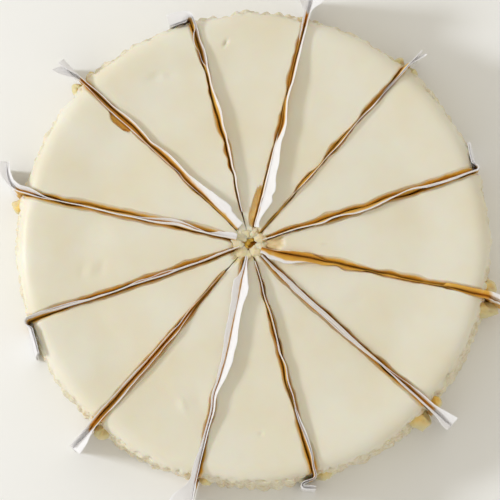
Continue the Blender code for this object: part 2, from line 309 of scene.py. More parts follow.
@dataclass(frozen=True)
class BakedCurd:
    """Baked cream-cheese custard, set in a lined tin.

    The heat of the oven sets the top to a smooth, faintly shiny cream skin that lets a
    little light in, so its shadows stay warm. The side tears away from the lining and is
    rougher and duller, with buff flecks. A cut is pale golden cream at its edge; further
    down a cut it turns golden and then brown, which is painted glow and painted shade of
    the narrow cut. Curd squeezed out at the rim is straw coloured, and its top and inner
    face take some of that painted golden shade.
    """

    top: str = "#E6E2D1"
    top_warm: str = "#E3DBC2"
    side: str = "#E2D9BF"
    fleck: str = "#CBBC99"
    squeeze_straw: str = "#D2C998"
    torn: str = "#E6D3A4"
    # painted golden glow just inside a cut
    golden_shade: str = "#EEC04C"
    # painted brown shade further down a cut
    deep: str = "#CA8A28"
    patch_mm: float = 38.0  # patches where the skin is thicker and warmer
    fleck_mm: float = 2.2  # crumbs left by the lining are 1 to 3 mm across
    pore_mm: float = 0.9  # real pores are about 0.3 mm; drawn coarser so that they show
    shade_mottle_mm: float = 4.0  # patches in which the painted shade of a cut is stronger or weaker are about this wide
    pore_deep_mm: float = 0.6
    ior: float = 1.45  # fat and water
    skin_rough: float = 0.42
    side_rough: float = 0.72
    glow: float = 0.5  # share of the light that passes through the surface
    glow_mm: float = 2.8  # how far red light travels inside
    glow_spread: tuple[float, float, float] = (1.0, 0.62, 0.26)

    def build(self) -> bpy.types.Material:
        """Make the material.

        Returns:
            The node material.
        """
        material, tree, output = new_material("baked_cream_curd")
        place = add_node(tree, "ShaderNodeTexCoord").outputs["Object"]
        inner = add_node(tree, "ShaderNodeAttribute", {"attribute_name": "inner"}).outputs["Fac"]
        rim = add_node(tree, "ShaderNodeAttribute", {"attribute_name": "rim"}).outputs["Fac"]
        depth = add_node(tree, "ShaderNodeAttribute", {"attribute_name": "depth"}).outputs["Fac"]
        patch = add_node(tree, "ShaderNodeTexNoise", Vector=place, Scale=1000.0 / self.patch_mm,
                         Detail=3.0, Roughness=0.5)
        warm = add_node(tree, "ShaderNodeValToRGB", {"ramp": [
            (0.38, linear(self.top)), (0.68, linear(self.top_warm))]}, Fac=patch.outputs["Fac"])
        flecks = add_node(tree, "ShaderNodeTexNoise", Vector=place,
                          Scale=1000.0 / self.fleck_mm, Detail=4.0, Roughness=0.65)
        fleck = add_node(tree, "ShaderNodeValToRGB", {"ramp": [
            (0.30, linear(self.fleck)), (0.50, linear(self.side)), (0.74, linear(self.top))]},
            Fac=flecks.outputs["Fac"])
        outer = add_node(tree, "ShaderNodeMix", {"data_type": "RGBA"}, Factor=rim,
                         in_6=warm.outputs["Color"], in_7=fleck.outputs["Color"])
        # Painted shade inside a cut: the depth below the top, made stronger or weaker in patches,
        # takes the cut's colour from its own pale cream through a painted golden glow to painted
        # brown shade.
        shade_mottle = add_node(tree, "ShaderNodeTexNoise", Vector=place, Scale=1000.0 / self.shade_mottle_mm,
                        Detail=3.0, Roughness=0.6)
        sunk = add_node(tree, "ShaderNodeMath", {"operation": "MULTIPLY_ADD"},
                        in_0=shade_mottle.outputs["Fac"], in_1=2.6, in_2=-1.3)
        golden_shade = add_node(tree, "ShaderNodeMath", {"operation": "MULTIPLY_ADD",
                                                 "use_clamp": True},
                        in_0=depth, in_1=sunk.outputs[0], in_2=depth)
        wet = add_node(tree, "ShaderNodeValToRGB", {"ramp": [
            (0.0, linear(self.torn)), (0.05, linear(self.golden_shade)), (0.3, linear(self.deep))]},
            Fac=golden_shade.outputs[0])
        pressed = add_node(tree, "ShaderNodeAttribute", {"attribute_name": "squeezed"})
        squeeze_mix = add_node(tree, "ShaderNodeMix", {"data_type": "RGBA"},
                        Factor=pressed.outputs["Fac"], in_6=outer.outputs[2],
                        in_7=linear(self.squeeze_straw))
        colour = add_node(tree, "ShaderNodeMix", {"data_type": "RGBA"}, Factor=inner,
                          in_6=squeeze_mix.outputs[2], in_7=wet.outputs["Color"])
        pores = add_node(tree, "ShaderNodeTexNoise", Vector=place, Scale=1000.0 / self.pore_mm,
                         Detail=3.0, Roughness=0.6)
        relief = add_node(tree, "ShaderNodeMath", {"operation": "MULTIPLY_ADD"},
                          in_0=rim, in_1=0.75, in_2=0.06)
        bump = add_node(tree, "ShaderNodeBump", Strength=relief.outputs[0],
                        Distance=self.pore_deep_mm * MM, Height=pores.outputs["Fac"])
        gloss = add_node(tree, "ShaderNodeMapRange", Value=rim, To_Min=self.skin_rough,
                         To_Max=self.side_rough)
        shader = add_node(tree, "ShaderNodeBsdfPrincipled", Base_Color=colour.outputs[2],
                          Roughness=gloss.outputs["Result"], IOR=self.ior, Metallic=0.0,
                          Normal=bump.outputs["Normal"], Subsurface_Weight=self.glow,
                          Subsurface_Radius=self.glow_spread,
                          Subsurface_Scale=self.glow_mm * MM)
        tree.links.new(shader.outputs[0], output.inputs[0])
        return material


@dataclass(frozen=True)
class Greaseproof:
    """Bleached greaseproof paper, beaten fine and pressed smooth between rollers.

    The pressing makes it satin and a little see-through, so its shaded side glows. It is
    white where dry, and amber and half clear where the cake's fat and moisture have
    soaked in, with an uneven tide line between. The amber grows darker further down
    the cut.
    """

    dry: str = "#FBFAFA"
    soaked: str = "#F0C456"
    # darker amber further down the cut
    deep: str = "#CF9532"
    fibre_mm: float = 1.4  # clumps of fibre; single fibres are too fine to show
    fibre_deep_mm: float = 0.4  # drawn deeper than the paper is thick, so that it shows
    tide_mm: float = 6.25  # how far the tide line wanders
    see_through: float = 0.3
    ior: float = 1.5  # cellulose
    rough: float = 0.55

    def build(self) -> bpy.types.Material:
        """Make the material.

        Returns:
            The node material.
        """
        material, tree, output = new_material("greaseproof_paper")
        place = add_node(tree, "ShaderNodeTexCoord").outputs["Object"]
        soak = add_node(tree, "ShaderNodeAttribute", {"attribute_name": "soak"}).outputs["Fac"]
        tide = add_node(tree, "ShaderNodeTexNoise", Vector=place, Scale=1000.0 / self.tide_mm,
                        Detail=3.0)
        edge = add_node(tree, "ShaderNodeMath", {"operation": "MULTIPLY_ADD"},
                        in_0=tide.outputs["Fac"], in_1=0.3, in_2=-0.15)
        wet = add_node(tree, "ShaderNodeMath", {"operation": "ADD", "use_clamp": True},
                       in_0=soak, in_1=edge.outputs[0])
        colour = add_node(tree, "ShaderNodeValToRGB", {"ramp": [
            (0.22, linear(self.dry)), (0.42, linear(self.soaked)), (0.8, linear(self.deep))]},
            Fac=wet.outputs[0])
        fibre = add_node(tree, "ShaderNodeTexNoise", Vector=place, Scale=1000.0 / self.fibre_mm,
                         Detail=4.0, Roughness=0.6)
        bump = add_node(tree, "ShaderNodeBump", Strength=0.12,
                        Distance=self.fibre_deep_mm * MM, Height=fibre.outputs["Fac"])
        shader = add_node(tree, "ShaderNodeBsdfPrincipled", Base_Color=colour.outputs["Color"],
                          Roughness=self.rough, IOR=self.ior, Metallic=0.0,
                          Normal=bump.outputs["Normal"])
        through = add_node(tree, "ShaderNodeBsdfTranslucent", Color=colour.outputs["Color"],
                           Normal=bump.outputs["Normal"])
        mixed = add_node(tree, "ShaderNodeMixShader", in_0=self.see_through,
                         in_1=shader.outputs[0], in_2=through.outputs[0])
        tree.links.new(mixed.outputs[0], output.inputs[0])
        return material


@dataclass(frozen=True)
class StudioFloor:
    """Uncoated white card; its matte tooth keeps the cake's shadow soft and plain."""

    card: str = "#F2F2F0"
    tooth: float = 900.0  # per metre; the card's tooth is finer, drawn coarser to show
    tooth_deep_mm: float = 0.2
    rough: float = 0.9

    def build(self) -> bpy.types.Material:
        """Make the material.

        Returns:
            The node material.
        """
        material, tree, output = new_material("white_card")
        place = add_node(tree, "ShaderNodeTexCoord").outputs["Object"]
        tooth = add_node(tree, "ShaderNodeTexNoise", Vector=place, Scale=self.tooth,
                         Detail=2.0)
        bump = add_node(tree, "ShaderNodeBump", Strength=0.03,
                        Distance=self.tooth_deep_mm * MM, Height=tooth.outputs["Fac"])
        shader = add_node(tree, "ShaderNodeBsdfPrincipled", Base_Color=linear(self.card),
                          Roughness=self.rough, Normal=bump.outputs["Normal"])
        tree.links.new(shader.outputs[0], output.inputs[0])
        return material


# ---------------------------------------------------------------- the cuts

WALL_ROOM = 0.42  # half the width of a cut low down
LEAF_ROOM = 0.15  # half the space between a slip's leaves low down
CLOSING = 1.7  # depth over which a cut's mouth closes to about a third
FOLLOWING = 0.45  # share of the mouth's stray to one side that reaches low down
CLOSED = 0.05  # half the width where the slices touch near the middle


def narrowing(down: np.ndarray) -> np.ndarray:
    """Share of a cut's opening that is left at a depth below the top."""
    return np.exp(-np.maximum(down, 0.0) / CLOSING)



@dataclass(frozen=True)
class Leaf:
    """One of a slip's two leaves: where it stands in its cut and how it leans.

    All tracks run by distance from the meeting point, mm, and their values are in mm,
    + to the left looking outwards.
    """

    neck: Track  # where it passes the level of the cake's top
    lean: Track  # how far its top edge leans from there
    rise: Track  # how far it stands above the cake's top
    tip_neck: float  # the same two at the free end, from the slip's own line
    tip_top: float
    tip_rise: float = 4.5


@dataclass(frozen=True)
class Cut:
    """One cut from the middle to the rim, its walls and the slip in it."""

    number: int
    bearing: float
    left_wall: Track
    right_wall: Track
    left: Leaf
    right: Leaf
    inner: float  # where the slip starts
    out: float  # length of the slip past the rim
    lay: Lay = Lay.STRAIGHT
    turn: float = 0.0  # how far a turned end swings, degrees, + to the left
    bend: float = 0.5  # share of the end's length over which it turns
    rim: float = 126.9  # radius at which the free end starts
    wander: float = 0.16  # small waves of the knife and the paper, mm
    soak_from: float = 0.0  # height above the top to which the slip is soaked
    dry_end: float = 0.85  # how much drier the slip is past the rim
    taken: float = 1.0  # share of the end by which it has its own shape
    hook: float = 1.9  # how much further a doubled end turns back than away
    cling_mm: tuple[float, float] = (0.9, 1.8)  # leaves nearer than this draw together
    cling: float = 0.42  # share of their distance that clinging leaves keep
    sway_mm: float = 1.1  # how far the cut strays below the top

    def heading(self) -> np.ndarray:
        """Unit vector from the middle out along the cut."""
        return bearing_vectors(self.bearing)

    def necks(self, along: np.ndarray) -> dict[Side, np.ndarray]:
        """Where the two leaves pass the cake's top; they cling where they stand close.

        Args:
            along: Distance from the meeting point, mm.

        Returns:
            Offset of each leaf, mm.
        """
        left = follow(self.left.neck, along)
        right = follow(self.right.neck, along)
        middle, apart = 0.5 * (left + right), 0.5 * (left - right)
        apart = apart * (self.cling + (1.0 - self.cling) * ease(*self.cling_mm, 2.0 * apart))
        return {Side.LEFT: middle + apart, Side.RIGHT: middle - apart}

    def swing(self, share: float) -> float:
        """How far the slip's end has turned.

        Args:
            share: Share of the end's length from the rim.

        Returns:
            Degrees, + to the left.
        """
        if self.lay is Lay.TURNED:
            return self.turn * min(share / self.bend, 1.0) ** 0.8
        if self.lay is Lay.DOUBLED:
            away = float(ease(-0.02, 0.16, np.array(share)))
            back = float(ease(0.36, 0.72, np.array(share)))
            return self.turn * (self.hook * back - away)
        return 0.0

    def ripple(self, along: np.ndarray) -> np.ndarray:
        """The small sideways waves shared by the walls and the slip.

        Args:
            along: Distance from the meeting point, mm.

        Returns:
            Offset, mm.
        """
        flat = np.ravel(along)
        spots = np.stack((flat, np.full(flat.shape, 7.0 * self.number), np.zeros(flat.shape)), 1)
        waves = grain(spots, 9.0, 31) + 0.35 * grain(spots, 4.0, 32)
        return (self.wander * waves).reshape(np.shape(along))

    def sway(self, along: np.ndarray, down: np.ndarray) -> np.ndarray:
        """How far the cut strays to one side below the top, walls and slip together.

        Args:
            along: Distance from the meeting point, mm.
            down: Depth below the cake's top, mm.

        Returns:
            Offset, mm.
        """
        where = np.stack((np.ravel(along), 7.0 * np.ravel(down) / 5.0,
                          np.full(np.size(along), 19.0 * self.number)), 1)
        drift = self.sway_mm * grain(where, 11.0, 33).reshape(np.shape(along))
        return drift * ease(0.3, 3.5, down) * ease(6.0, 14.0, along)

    def wall(self, side: Side, along: np.ndarray, down: np.ndarray) -> np.ndarray:
        """Where a wall of the cut stands.

        Args:
            side: Which wall.
            along: Distance from the meeting point, mm.
            down: Depth below the cake's top, mm.

        Returns:
            Offset from the cut's centre line, mm, + to the left.
        """
        track = self.left_wall if side is Side.LEFT else self.right_wall
        top = follow(track, along) + self.ripple(along)
        low = 0.5 * (follow(self.left_wall, along) + follow(self.right_wall, along))
        low = FOLLOWING * low + side.value * WALL_ROOM
        offset = low + (top - low) * narrowing(down) + self.sway(along, down)
        spread = ease(max(3.0, self.inner - 5.0), max(9.5, self.inner + 2.0), along)
        return offset * spread + side.value * CLOSED * (1.0 - spread)


def leaf(neck: Track, lean: Track, rise: Track, tip: tuple[float, float],
         tip_rise: float = 4.5) -> Leaf:
    """Short form for a leaf, with its two tip offsets together."""
    return Leaf(neck, lean, rise, tip[0], tip[1], tip_rise)


CUTS: tuple[Cut, ...] = (
    Cut(1, 104.7,
        ((18, 0.5), (25, 0.6), (33, 0.1), (38, -0.7), (42, 1.0), (47, 0.3), (51, 1.1), (56, -0.4),
         (62, 1.2), (70, 1.0), (78, 0.6), (83, 1.0), (88, 0.1), (92, -0.5), (98, 0.6), (103, 1.4),
         (108, 1.3), (112, 2.1), (117, 2.3), (124, 1.8)),
        ((18, -0.5), (30, -1.0), (37, -2.2), (41, -2.0), (50, -2.8), (57, -2.7), (64, -2.4),
         (72, -3.0), (80, -2.3), (86, -1.9), (93, -2.6), (100, -2.5), (106, -3.0), (118, -2.4),
         (124, -1.8)),
        leaf(((18, 0.2), (33, -0.2), (38, -1.0), (44, 0.1), (51, 0.3), (56, -1.0), (62, 0.2),
              (72, 0.0), (84, 0.2), (92, -0.9), (97, -0.9), (101, 0.3), (105, 0.3), (110, 1.4),
              (114, 1.0), (119, -1.0), (124, -0.8)),
             ((18, 0.0), (97, -0.2), (108, 0.2), (124, 0.3)),
             ((18, -3.0), (92, -3.0), (99, 1.0), (112, 2.6), (124, 3.4)), (2.2, 2.6), 2.6),
        leaf(((18, -0.2), (30, -0.7), (37, -1.8), (41, -1.5), (47, -1.5), (53, -1.9), (57, -2.3),
              (64, -2.1), (72, -2.6), (80, -2.0), (86, -1.6), (92, -2.1), (98, -2.0), (106, -2.5),
              (112, -1.7), (119, -1.9), (124, -1.4)),
             ((18, -0.4), (40, -0.5), (60, -0.4), (100, -0.4), (124, -0.4)),
             ((18, 1.8), (35, 3.0), (100, 3.2), (124, 3.2)), (1.2, -3.6), 2.2),
        inner=17.0, out=13.0, lay=Lay.TURNED, turn=95.0, bend=0.28, rim=125.6, taken=0.35),
    Cut(2, 76.0,
        ((10, 0.9), (30, 0.9), (44, 0.9), (55, 0.5), (60, 1.0), (68, 1.1), (75, 0.8), (80, 0.6),
         (85, 0.9), (88, 1.9), (100, 1.7), (115, 1.6), (124, 1.7)),
        ((10, -1.2), (34, -1.3), (42, -1.0), (55, -1.0), (60, -2.2), (66, -3.0), (72, -2.0),
         (80, -0.9), (90, -1.5), (100, -1.2), (110, -1.3), (124, -1.5)),
        leaf(((10, 0.3), (34, 0.2), (55, 0.1), (60, -0.2), (64, -0.9), (70, -0.3), (76, 0.3),
              (84, 0.3), (90, 0.9), (100, 0.9), (118, 0.8), (124, 1.0)),
             ((10, -0.6), (40, -0.8), (60, -0.2), (100, 0.0), (124, 0.8)),
             ((10, 0.4), (40, 0.8), (58, 0.2), (75, -1.5), (100, -0.5), (116, 1.0), (124, 3.6)),
             (1.0, 10.5), 4.0),
        leaf(((10, -0.5), (34, -0.8), (45, -0.5), (55, -0.5), (60, -1.7), (66, -2.5), (72, -1.6),
              (80, -0.5), (90, -1.0), (100, -0.8), (124, -0.9)),
             ((10, -2.2), (20, -4.4), (42, -4.6), (58, -2.4), (68, -0.9), (80, -0.9), (112, -0.8),
              (124, -0.6)),
             ((10, 2.0), (30, 3.6), (55, 4.2), (85, 4.4), (110, 3.6), (124, 3.6)),
             (-1.0, -8.5), 3.4),
        inner=9.0, out=13.0),
    Cut(3, 48.7,
        ((4, 0.3), (20, 0.3), (28, 0.6), (35, 0.4), (40, 1.7), (46, 1.7), (52, 0.4), (60, 0.3),
         (64, 1.3), (69, 2.6), (74, 1.3), (80, 0.5), (88, 0.5), (92, 1.4), (98, 1.8), (106, 1.4),
         (115, 1.4), (124, 2.4)),
        ((4, -0.9), (20, -0.7), (30, -1.0), (36, -0.7), (42, -1.1), (48, -1.5), (56, -1.3),
         (62, -1.2), (66, -2.1), (72, -2.0), (78, -1.2), (86, -0.9), (96, -1.6), (110, -1.9),
         (124, -1.8)),
        leaf(((8, -0.1), (28, 0.1), (36, 0.0), (42, 0.1), (60, -0.1), (66, 0.3), (72, 0.2),
              (84, 0.1), (92, 0.3), (100, 0.6), (108, 0.3), (116, -0.2), (124, -0.5)),
             ((8, 0.0), (124, 0.0)),
             ((8, -2.0), (80, -2.0), (104, -0.6), (114, 1.6), (124, 3.0)), (-1.4, -0.8), 3.6),
        leaf(((8, -0.5), (28, -0.4), (36, -0.3), (42, -0.6), (50, -0.8), (60, -0.7), (66, -0.9),
              (72, -1.0), (80, -0.6), (86, -0.4), (96, -0.9), (108, -0.9), (118, -1.1),
              (124, -1.2)),
             ((8, -0.1), (60, -0.2), (104, -0.3), (124, -0.5)),
             ((8, -0.6), (40, 0.5), (60, 0.2), (80, 1.0), (110, 2.2), (124, 3.0)),
             (-3.4, -4.4), 3.0),
        inner=7.0, out=11.0),
    Cut(4, 18.0,
        ((6, 1.2), (15, 1.4), (22, 1.9), (33, 1.5), (42, 2.8), (50, 2.3), (58, 2.6), (64, 1.3),
         (70, 2.4), (80, 2.7), (90, 2.5), (98, 2.7), (124, 2.9)),
        ((6, -0.9), (30, -1.6), (38, -2.2), (42, -3.0), (50, -3.5), (57, -3.3), (64, -3.0),
         (76, -2.3), (86, -2.8), (96, -2.8), (124, -2.5)),
        leaf(((6, 0.2), (20, 0.0), (25, 0.4), (33, -0.3), (40, -0.9), (47, 0.0), (52, -0.3),
              (58, -1.4), (64, -1.6), (70, -1.3), (80, 0.4), (88, 1.4), (92, 1.5), (98, 0.8),
              (106, 0.3), (116, 0.3), (124, 0.5)),
             ((6, -0.6), (60, -0.8), (88, -0.8), (98, -1.2), (124, -1.3)),
             ((6, 0.6), (60, 1.2), (90, 2.2), (124, 3.2)), (2.6, 3.6), 3.2),
        leaf(((6, -0.4), (25, -0.5), (33, -1.1), (40, -1.7), (47, -1.0), (52, -1.3), (58, -2.3),
              (64, -2.4), (70, -2.1), (80, -0.6), (88, 0.5), (92, 0.6), (98, -0.4), (106, -0.9),
              (124, -0.3)),
             ((6, -0.4), (60, -0.4), (84, -0.4), (100, -0.9), (124, -0.6)),
             ((6, 1.0), (60, 1.8), (100, 3.0), (124, 3.6)), (1.8, 2.6), 3.6),
        inner=7.0, out=16.0, lay=Lay.TURNED, turn=86.0, bend=0.22, soak_from=0.2, rim=125.4,
        taken=0.35),
    Cut(5, -13.0,
        ((6, 0.2), (16, -0.6), (22, 0.4), (28, 1.2), (33, 1.6), (40, 2.2), (45, 2.6), (50, 2.8),
         (57, 2.3), (62, 2.1), (70, 1.5), (76, 2.9), (82, 2.1), (88, 3.5), (92, 3.0), (96, 2.0),
         (102, 3.0), (110, 3.6), (124, 4.0)),
        ((6, -2.2), (16, -3.0), (26, -3.2), (34, -2.5), (41, -2.5), (47, -1.5), (52, -2.5),
         (60, -1.9), (66, -0.9), (72, -1.3), (80, -1.2), (90, -0.8), (95, -0.3), (110, -0.2),
         (124, -0.6)),
        leaf(((6, -0.6), (16, -0.9), (22, 0.0), (30, 0.8), (40, 1.5), (50, 1.0), (60, 0.6),
              (70, 0.3), (90, 0.9), (96, 1.1), (104, 1.3), (112, 1.6), (124, 1.8)),
             ((6, 0.0), (22, 0.5), (40, 0.4), (90, 0.4), (104, 1.2), (112, 1.7), (124, 1.7)),
             ((6, 1.4), (24, 1.2), (34, 0.2), (42, -3.0), (96, -3.0), (106, 0.2), (124, 1.4)),
             (0.4, 2.6), 1.6),
        leaf(((6, -1.4), (16, -2.3), (26, -2.7), (34, -2.1), (41, -2.1), (47, -1.1), (52, -2.1),
              (60, -1.5), (66, -0.5), (72, -0.9), (80, -0.8), (90, -0.4), (95, 0.1), (110, 0.2),
              (124, -0.4)),
             ((6, -3.0), (12, -3.8), (22, -2.8), (34, -0.9), (50, -0.2), (90, -0.1), (124, -0.3)),
             ((6, 2.0), (24, 2.2), (40, 1.0), (60, -0.4), (95, 0.2), (112, 0.4), (124, 1.4)),
             (-2.0, -1.6), 2.6),
        inner=6.5, out=10.0, soak_from=1.4, dry_end=0.5),
    Cut(6, -42.4,
        ((8, 0.5), (22, 0.6), (28, 0.4), (45, 0.7), (52, 0.8), (60, 1.1), (68, 0.9), (76, 0.5),
         (83, 1.1), (88, 0.8), (94, 2.0), (100, 1.6), (110, 2.3), (124, 2.5)),
        ((8, -2.0), (22, -3.9), (30, -3.8), (45, -4.2), (60, -3.8), (75, -3.2), (95, -3.1),
         (110, -3.1), (124, -3.0)),
        leaf(((8, -0.1), (28, -0.2), (50, -0.2), (60, -0.2), (76, -0.3), (88, -0.1), (96, 0.2),
              (104, 0.6), (112, 1.2), (124, 1.5)),
             ((8, -1.0), (28, -2.2), (60, -2.1), (84, -1.5), (96, -0.7), (106, -0.2), (116, 0.2),
              (124, 0.6)),
             ((8, 2.0), (28, 3.0), (84, 2.6), (104, 1.6), (124, 3.6)), (1.0, 5.0), 4.0),
        leaf(((8, -0.7), (28, -1.9), (50, -2.2), (76, -1.9), (88, -1.4), (96, -0.9), (104, -0.7),
              (112, -0.5), (124, -0.4)),
             ((8, -0.6), (28, -1.0), (60, -0.8), (84, -0.7), (96, -0.6), (112, -1.3),
              (124, -1.5)),
             ((8, 1.0), (50, 0.8), (84, 1.2), (104, 2.4), (124, 4.2)), (-0.4, -3.6), 4.2),
        inner=9.0, out=15.0),
    Cut(7, -74.6,
        ((8, 0.6), (20, 1.3), (25, 1.3), (30, 0.7), (38, 1.6), (45, 1.8), (52, 1.3), (58, 1.6),
         (62, 1.1), (68, 1.9), (74, 1.0), (78, 1.0), (83, 2.1), (87, 1.4), (95, 0.9), (100, 1.2),
         (108, 2.4), (116, 3.7), (124, 3.2)),
        ((8, -0.6), (20, -0.6), (30, -1.1), (36, -0.8), (45, -1.3), (50, -1.9), (57, -1.8),
         (64, -2.2), (72, -2.7), (78, -2.4), (84, -1.9), (92, -1.1), (98, -1.8), (108, -2.1),
         (116, -2.8), (124, -2.4)),
        leaf(((8, 0.2), (20, 0.8), (30, 0.3), (38, 1.1), (45, 1.1), (52, 0.8), (60, 0.3),
              (68, 1.3), (76, 0.5), (83, 0.7), (90, 0.6), (96, 0.5), (104, 1.2), (112, 2.1),
              (118, 2.2), (124, 1.6)),
             ((8, -0.5), (30, -0.5), (60, -0.6), (88, -0.3), (98, 0.8), (110, 0.6), (124, 0.0)),
             ((8, 2.0), (30, 3.0), (90, 3.2), (124, 3.4)), (0.4, 0.9), 3.8),
        leaf(((8, -0.2), (20, 0.1), (30, -0.3), (38, 0.2), (45, 0.2), (52, -0.1), (60, -0.8),
              (68, 0.5), (76, -0.9), (83, -1.1), (92, -0.3), (98, -0.2), (104, 0.3), (112, 1.3),
              (118, 1.3), (124, 0.5)),
             ((8, -0.2), (90, -0.3), (124, -0.4)),
             ((8, -1.0), (44, 0.4), (70, 0.3), (84, -1.0), (98, 2.0), (124, 3.4)),
             (-0.5, -1.3), 3.4),
        inner=10.0, out=18.0, lay=Lay.DOUBLED, turn=82.0, rim=125.2),
    Cut(8, -102.8,
        ((8, 1.0), (25, 1.8), (40, 2.0), (64, 1.9), (75, 1.2), (82, 0.6), (90, 1.7), (100, 1.4),
         (112, 2.2), (124, 2.8)),
        ((8, -2.4), (16, -2.6), (25, -1.8), (40, -1.4), (66, -0.9), (76, -1.3), (82, -2.1),
         (92, -1.8), (100, -2.0), (108, -1.4), (124, -2.0)),
        leaf(((8, 0.3), (25, 0.6), (40, 0.9), (64, 1.1), (75, 0.4), (82, -0.3), (92, 0.9),
              (104, 0.4), (112, 0.3), (124, 0.3)),
             ((8, 0.4), (14, 1.6), (22, 3.4), (40, 3.2), (60, 3.8), (76, 2.8), (88, 1.0),
              (100, 0.8), (124, 0.5)),
             ((8, 1.6), (20, 3.0), (60, 3.8), (90, 3.2), (124, 3.0)), (0.6, 1.0), 2.4),
        leaf(((8, -0.2), (16, -0.1), (25, 0.2), (40, 0.5), (64, 0.7), (75, -0.2), (82, -1.0),
              (92, -0.2), (104, -0.5), (124, -0.6)),
             ((8, -0.8), (16, -1.8), (24, -3.8), (32, -3.6), (44, -3.2), (60, -2.6), (75, -1.2),
              (92, -0.9), (104, -1.0), (116, -1.8), (124, -2.8)),
             ((8, 1.6), (20, 2.2), (60, 2.4), (100, 2.2), (124, 3.6)), (1.4, -12.5), 3.4),
        inner=7.5, out=17.0, soak_from=0.0),
    Cut(9, -131.0,
        ((18, 0.5), (30, 0.9), (45, 1.8), (55, 2.6), (65, 2.7), (75, 3.3), (100, 3.5),
         (124, 3.7)),
        ((18, -1.2), (40, -1.4), (52, -1.6), (60, -1.6), (75, -1.2), (95, -1.7), (110, -1.8),
         (124, -2.4)),
        leaf(((20, 0.0), (40, 0.4), (48, 0.7), (54, 1.3), (60, 1.9), (70, 2.0), (85, 2.5),
              (100, 2.3), (112, 2.5), (124, 2.0)),
             ((20, 0.1), (60, 0.2), (110, 0.3), (124, 0.4)),
             ((20, -1.0), (48, 0.2), (60, 1.2), (100, 1.4), (124, 2.4)), (1.2, 6.0), 2.8),
        leaf(((20, -0.6), (40, -0.8), (48, -0.9), (54, -0.3), (58, 0.1), (62, -0.3), (75, -0.2),
              (84, -0.1), (92, -0.4), (105, -0.9), (124, -1.0)),
             ((20, -0.2), (60, -0.3), (124, -0.3)),
             ((20, 0.2), (48, 0.6), (60, 1.6), (124, 2.8)), (-0.2, -0.9), 3.4),
        inner=20.0, out=17.0),
    Cut(10, -160.8,
        ((6, 1.3), (22, 2.2), (32, 2.9), (45, 2.6), (55, 2.8), (70, 2.4), (80, 2.6), (90, 2.1),
         (100, 1.8), (108, 2.0), (124, 2.4)),
        ((6, -0.8), (24, -1.3), (35, -2.5), (46, -1.4), (51, -1.8), (57, -2.8), (64, -1.7),
         (70, -1.9), (80, -2.3), (98, -2.2), (106, -2.9), (113, -3.0), (124, -2.2)),
        leaf(((6, 0.5), (24, 1.3), (35, 1.5), (46, 1.6), (57, 1.5), (70, 1.3), (80, 1.6),
              (90, 1.3), (100, 0.7), (108, 0.2), (116, -0.6), (124, -0.7)),
             ((6, -0.5), (30, -0.7), (60, -0.7), (90, -0.8), (124, -0.6)),
             ((6, 1.6), (60, 1.6), (124, 3.2)), (2.6, 3.2), 3.0),
        leaf(((6, -0.2), (24, 0.2), (35, 0.4), (42, 0.3), (47, -0.2), (57, 0.1), (63, -0.1),
              (70, 0.4), (80, 0.5), (90, 0.3), (98, -0.6), (108, -1.3), (116, -1.8), (124, -1.5)),
             ((6, -0.3), (60, -0.3), (96, -0.5), (124, -0.3)),
             ((6, 1.0), (60, 0.8), (100, 1.4), (124, 3.2)), (1.8, 2.2), 3.2),
        inner=6.0, out=20.0, lay=Lay.TURNED, turn=86.0, bend=0.2, soak_from=0.0, rim=125.4,
        taken=0.35),
    Cut(11, -193.0,
        ((8, 1.4), (35, 1.6), (45, 1.9), (55, 2.1), (70, 2.4), (85, 2.5), (92, 2.9), (124, 3.2)),
        ((8, -1.8), (16, -3.0), (25, -3.8), (35, -3.7), (43, -3.6), (55, -3.5), (66, -2.9),
         (72, -3.0), (80, -2.6), (90, -2.6), (100, -2.0), (110, -1.9), (124, -1.7)),
        leaf(((8, 0.3), (22, 0.9), (30, 0.4), (40, -0.2), (48, 0.8), (60, 1.3), (70, 1.5),
              (82, 1.6), (92, 1.3), (105, 1.6), (112, 1.9), (118, 1.6), (124, 1.2)),
             ((8, -0.8), (22, -0.8), (40, -1.2), (60, -0.8), (124, -0.4)),
             ((8, 2.0), (60, 2.0), (100, 1.4), (124, 2.6)), (-0.8, 3.8), 2.2),
        leaf(((8, -0.6), (16, -0.6), (22, -0.2), (30, -1.2), (40, -2.2), (46, -1.8), (55, -0.5),
              (64, 0.1), (72, 0.2), (82, 0.6), (92, 0.4), (105, 0.7), (112, 0.6), (118, -0.2),
              (124, -0.5)),
             ((8, -2.6), (16, -1.9), (22, -0.5), (30, -0.6), (40, -1.0), (60, -0.3), (110, -0.4),
              (118, -1.2), (124, -2.0)),
             ((8, 1.4), (60, 1.2), (110, 2.4), (124, 3.8)), (-1.6, -2.2), 3.2),
        inner=7.5, out=19.0, lay=Lay.TURNED, turn=-74.0, bend=0.8, soak_from=0.0),
    Cut(12, -224.6,
        ((10, 0.3), (25, 0.2), (35, 0.4), (42, 1.2), (50, 1.0), (53, 0.4), (60, 0.9), (70, 1.2),
         (76, 1.5), (84, 1.7), (100, 2.4), (110, 2.7), (124, 2.9)),
        ((10, -1.8), (20, -1.9), (30, -2.3), (40, -2.7), (50, -2.6), (56, -3.0), (64, -3.1),
         (70, -2.6), (75, -1.7), (80, -2.2), (88, -2.7), (96, -2.2), (102, -1.6), (124, -1.5)),
        leaf(((12, -0.4), (25, -0.3), (35, 0.0), (42, 0.6), (50, 0.5), (53, -0.1), (60, 0.4),
              (70, 0.7), (76, 1.0), (84, 1.2), (92, 1.6), (102, 1.9), (112, 1.9), (118, 1.6),
              (124, 1.8)),
             ((12, 0.0), (60, 0.1), (124, 0.3)),
             ((12, -0.6), (50, 0.6), (70, 1.2), (124, 2.6)), (7.6, 8.4), 2.6),
        leaf(((12, -1.2), (25, -1.5), (35, -2.1), (42, -2.2), (50, -2.2), (56, -2.6), (64, -2.7),
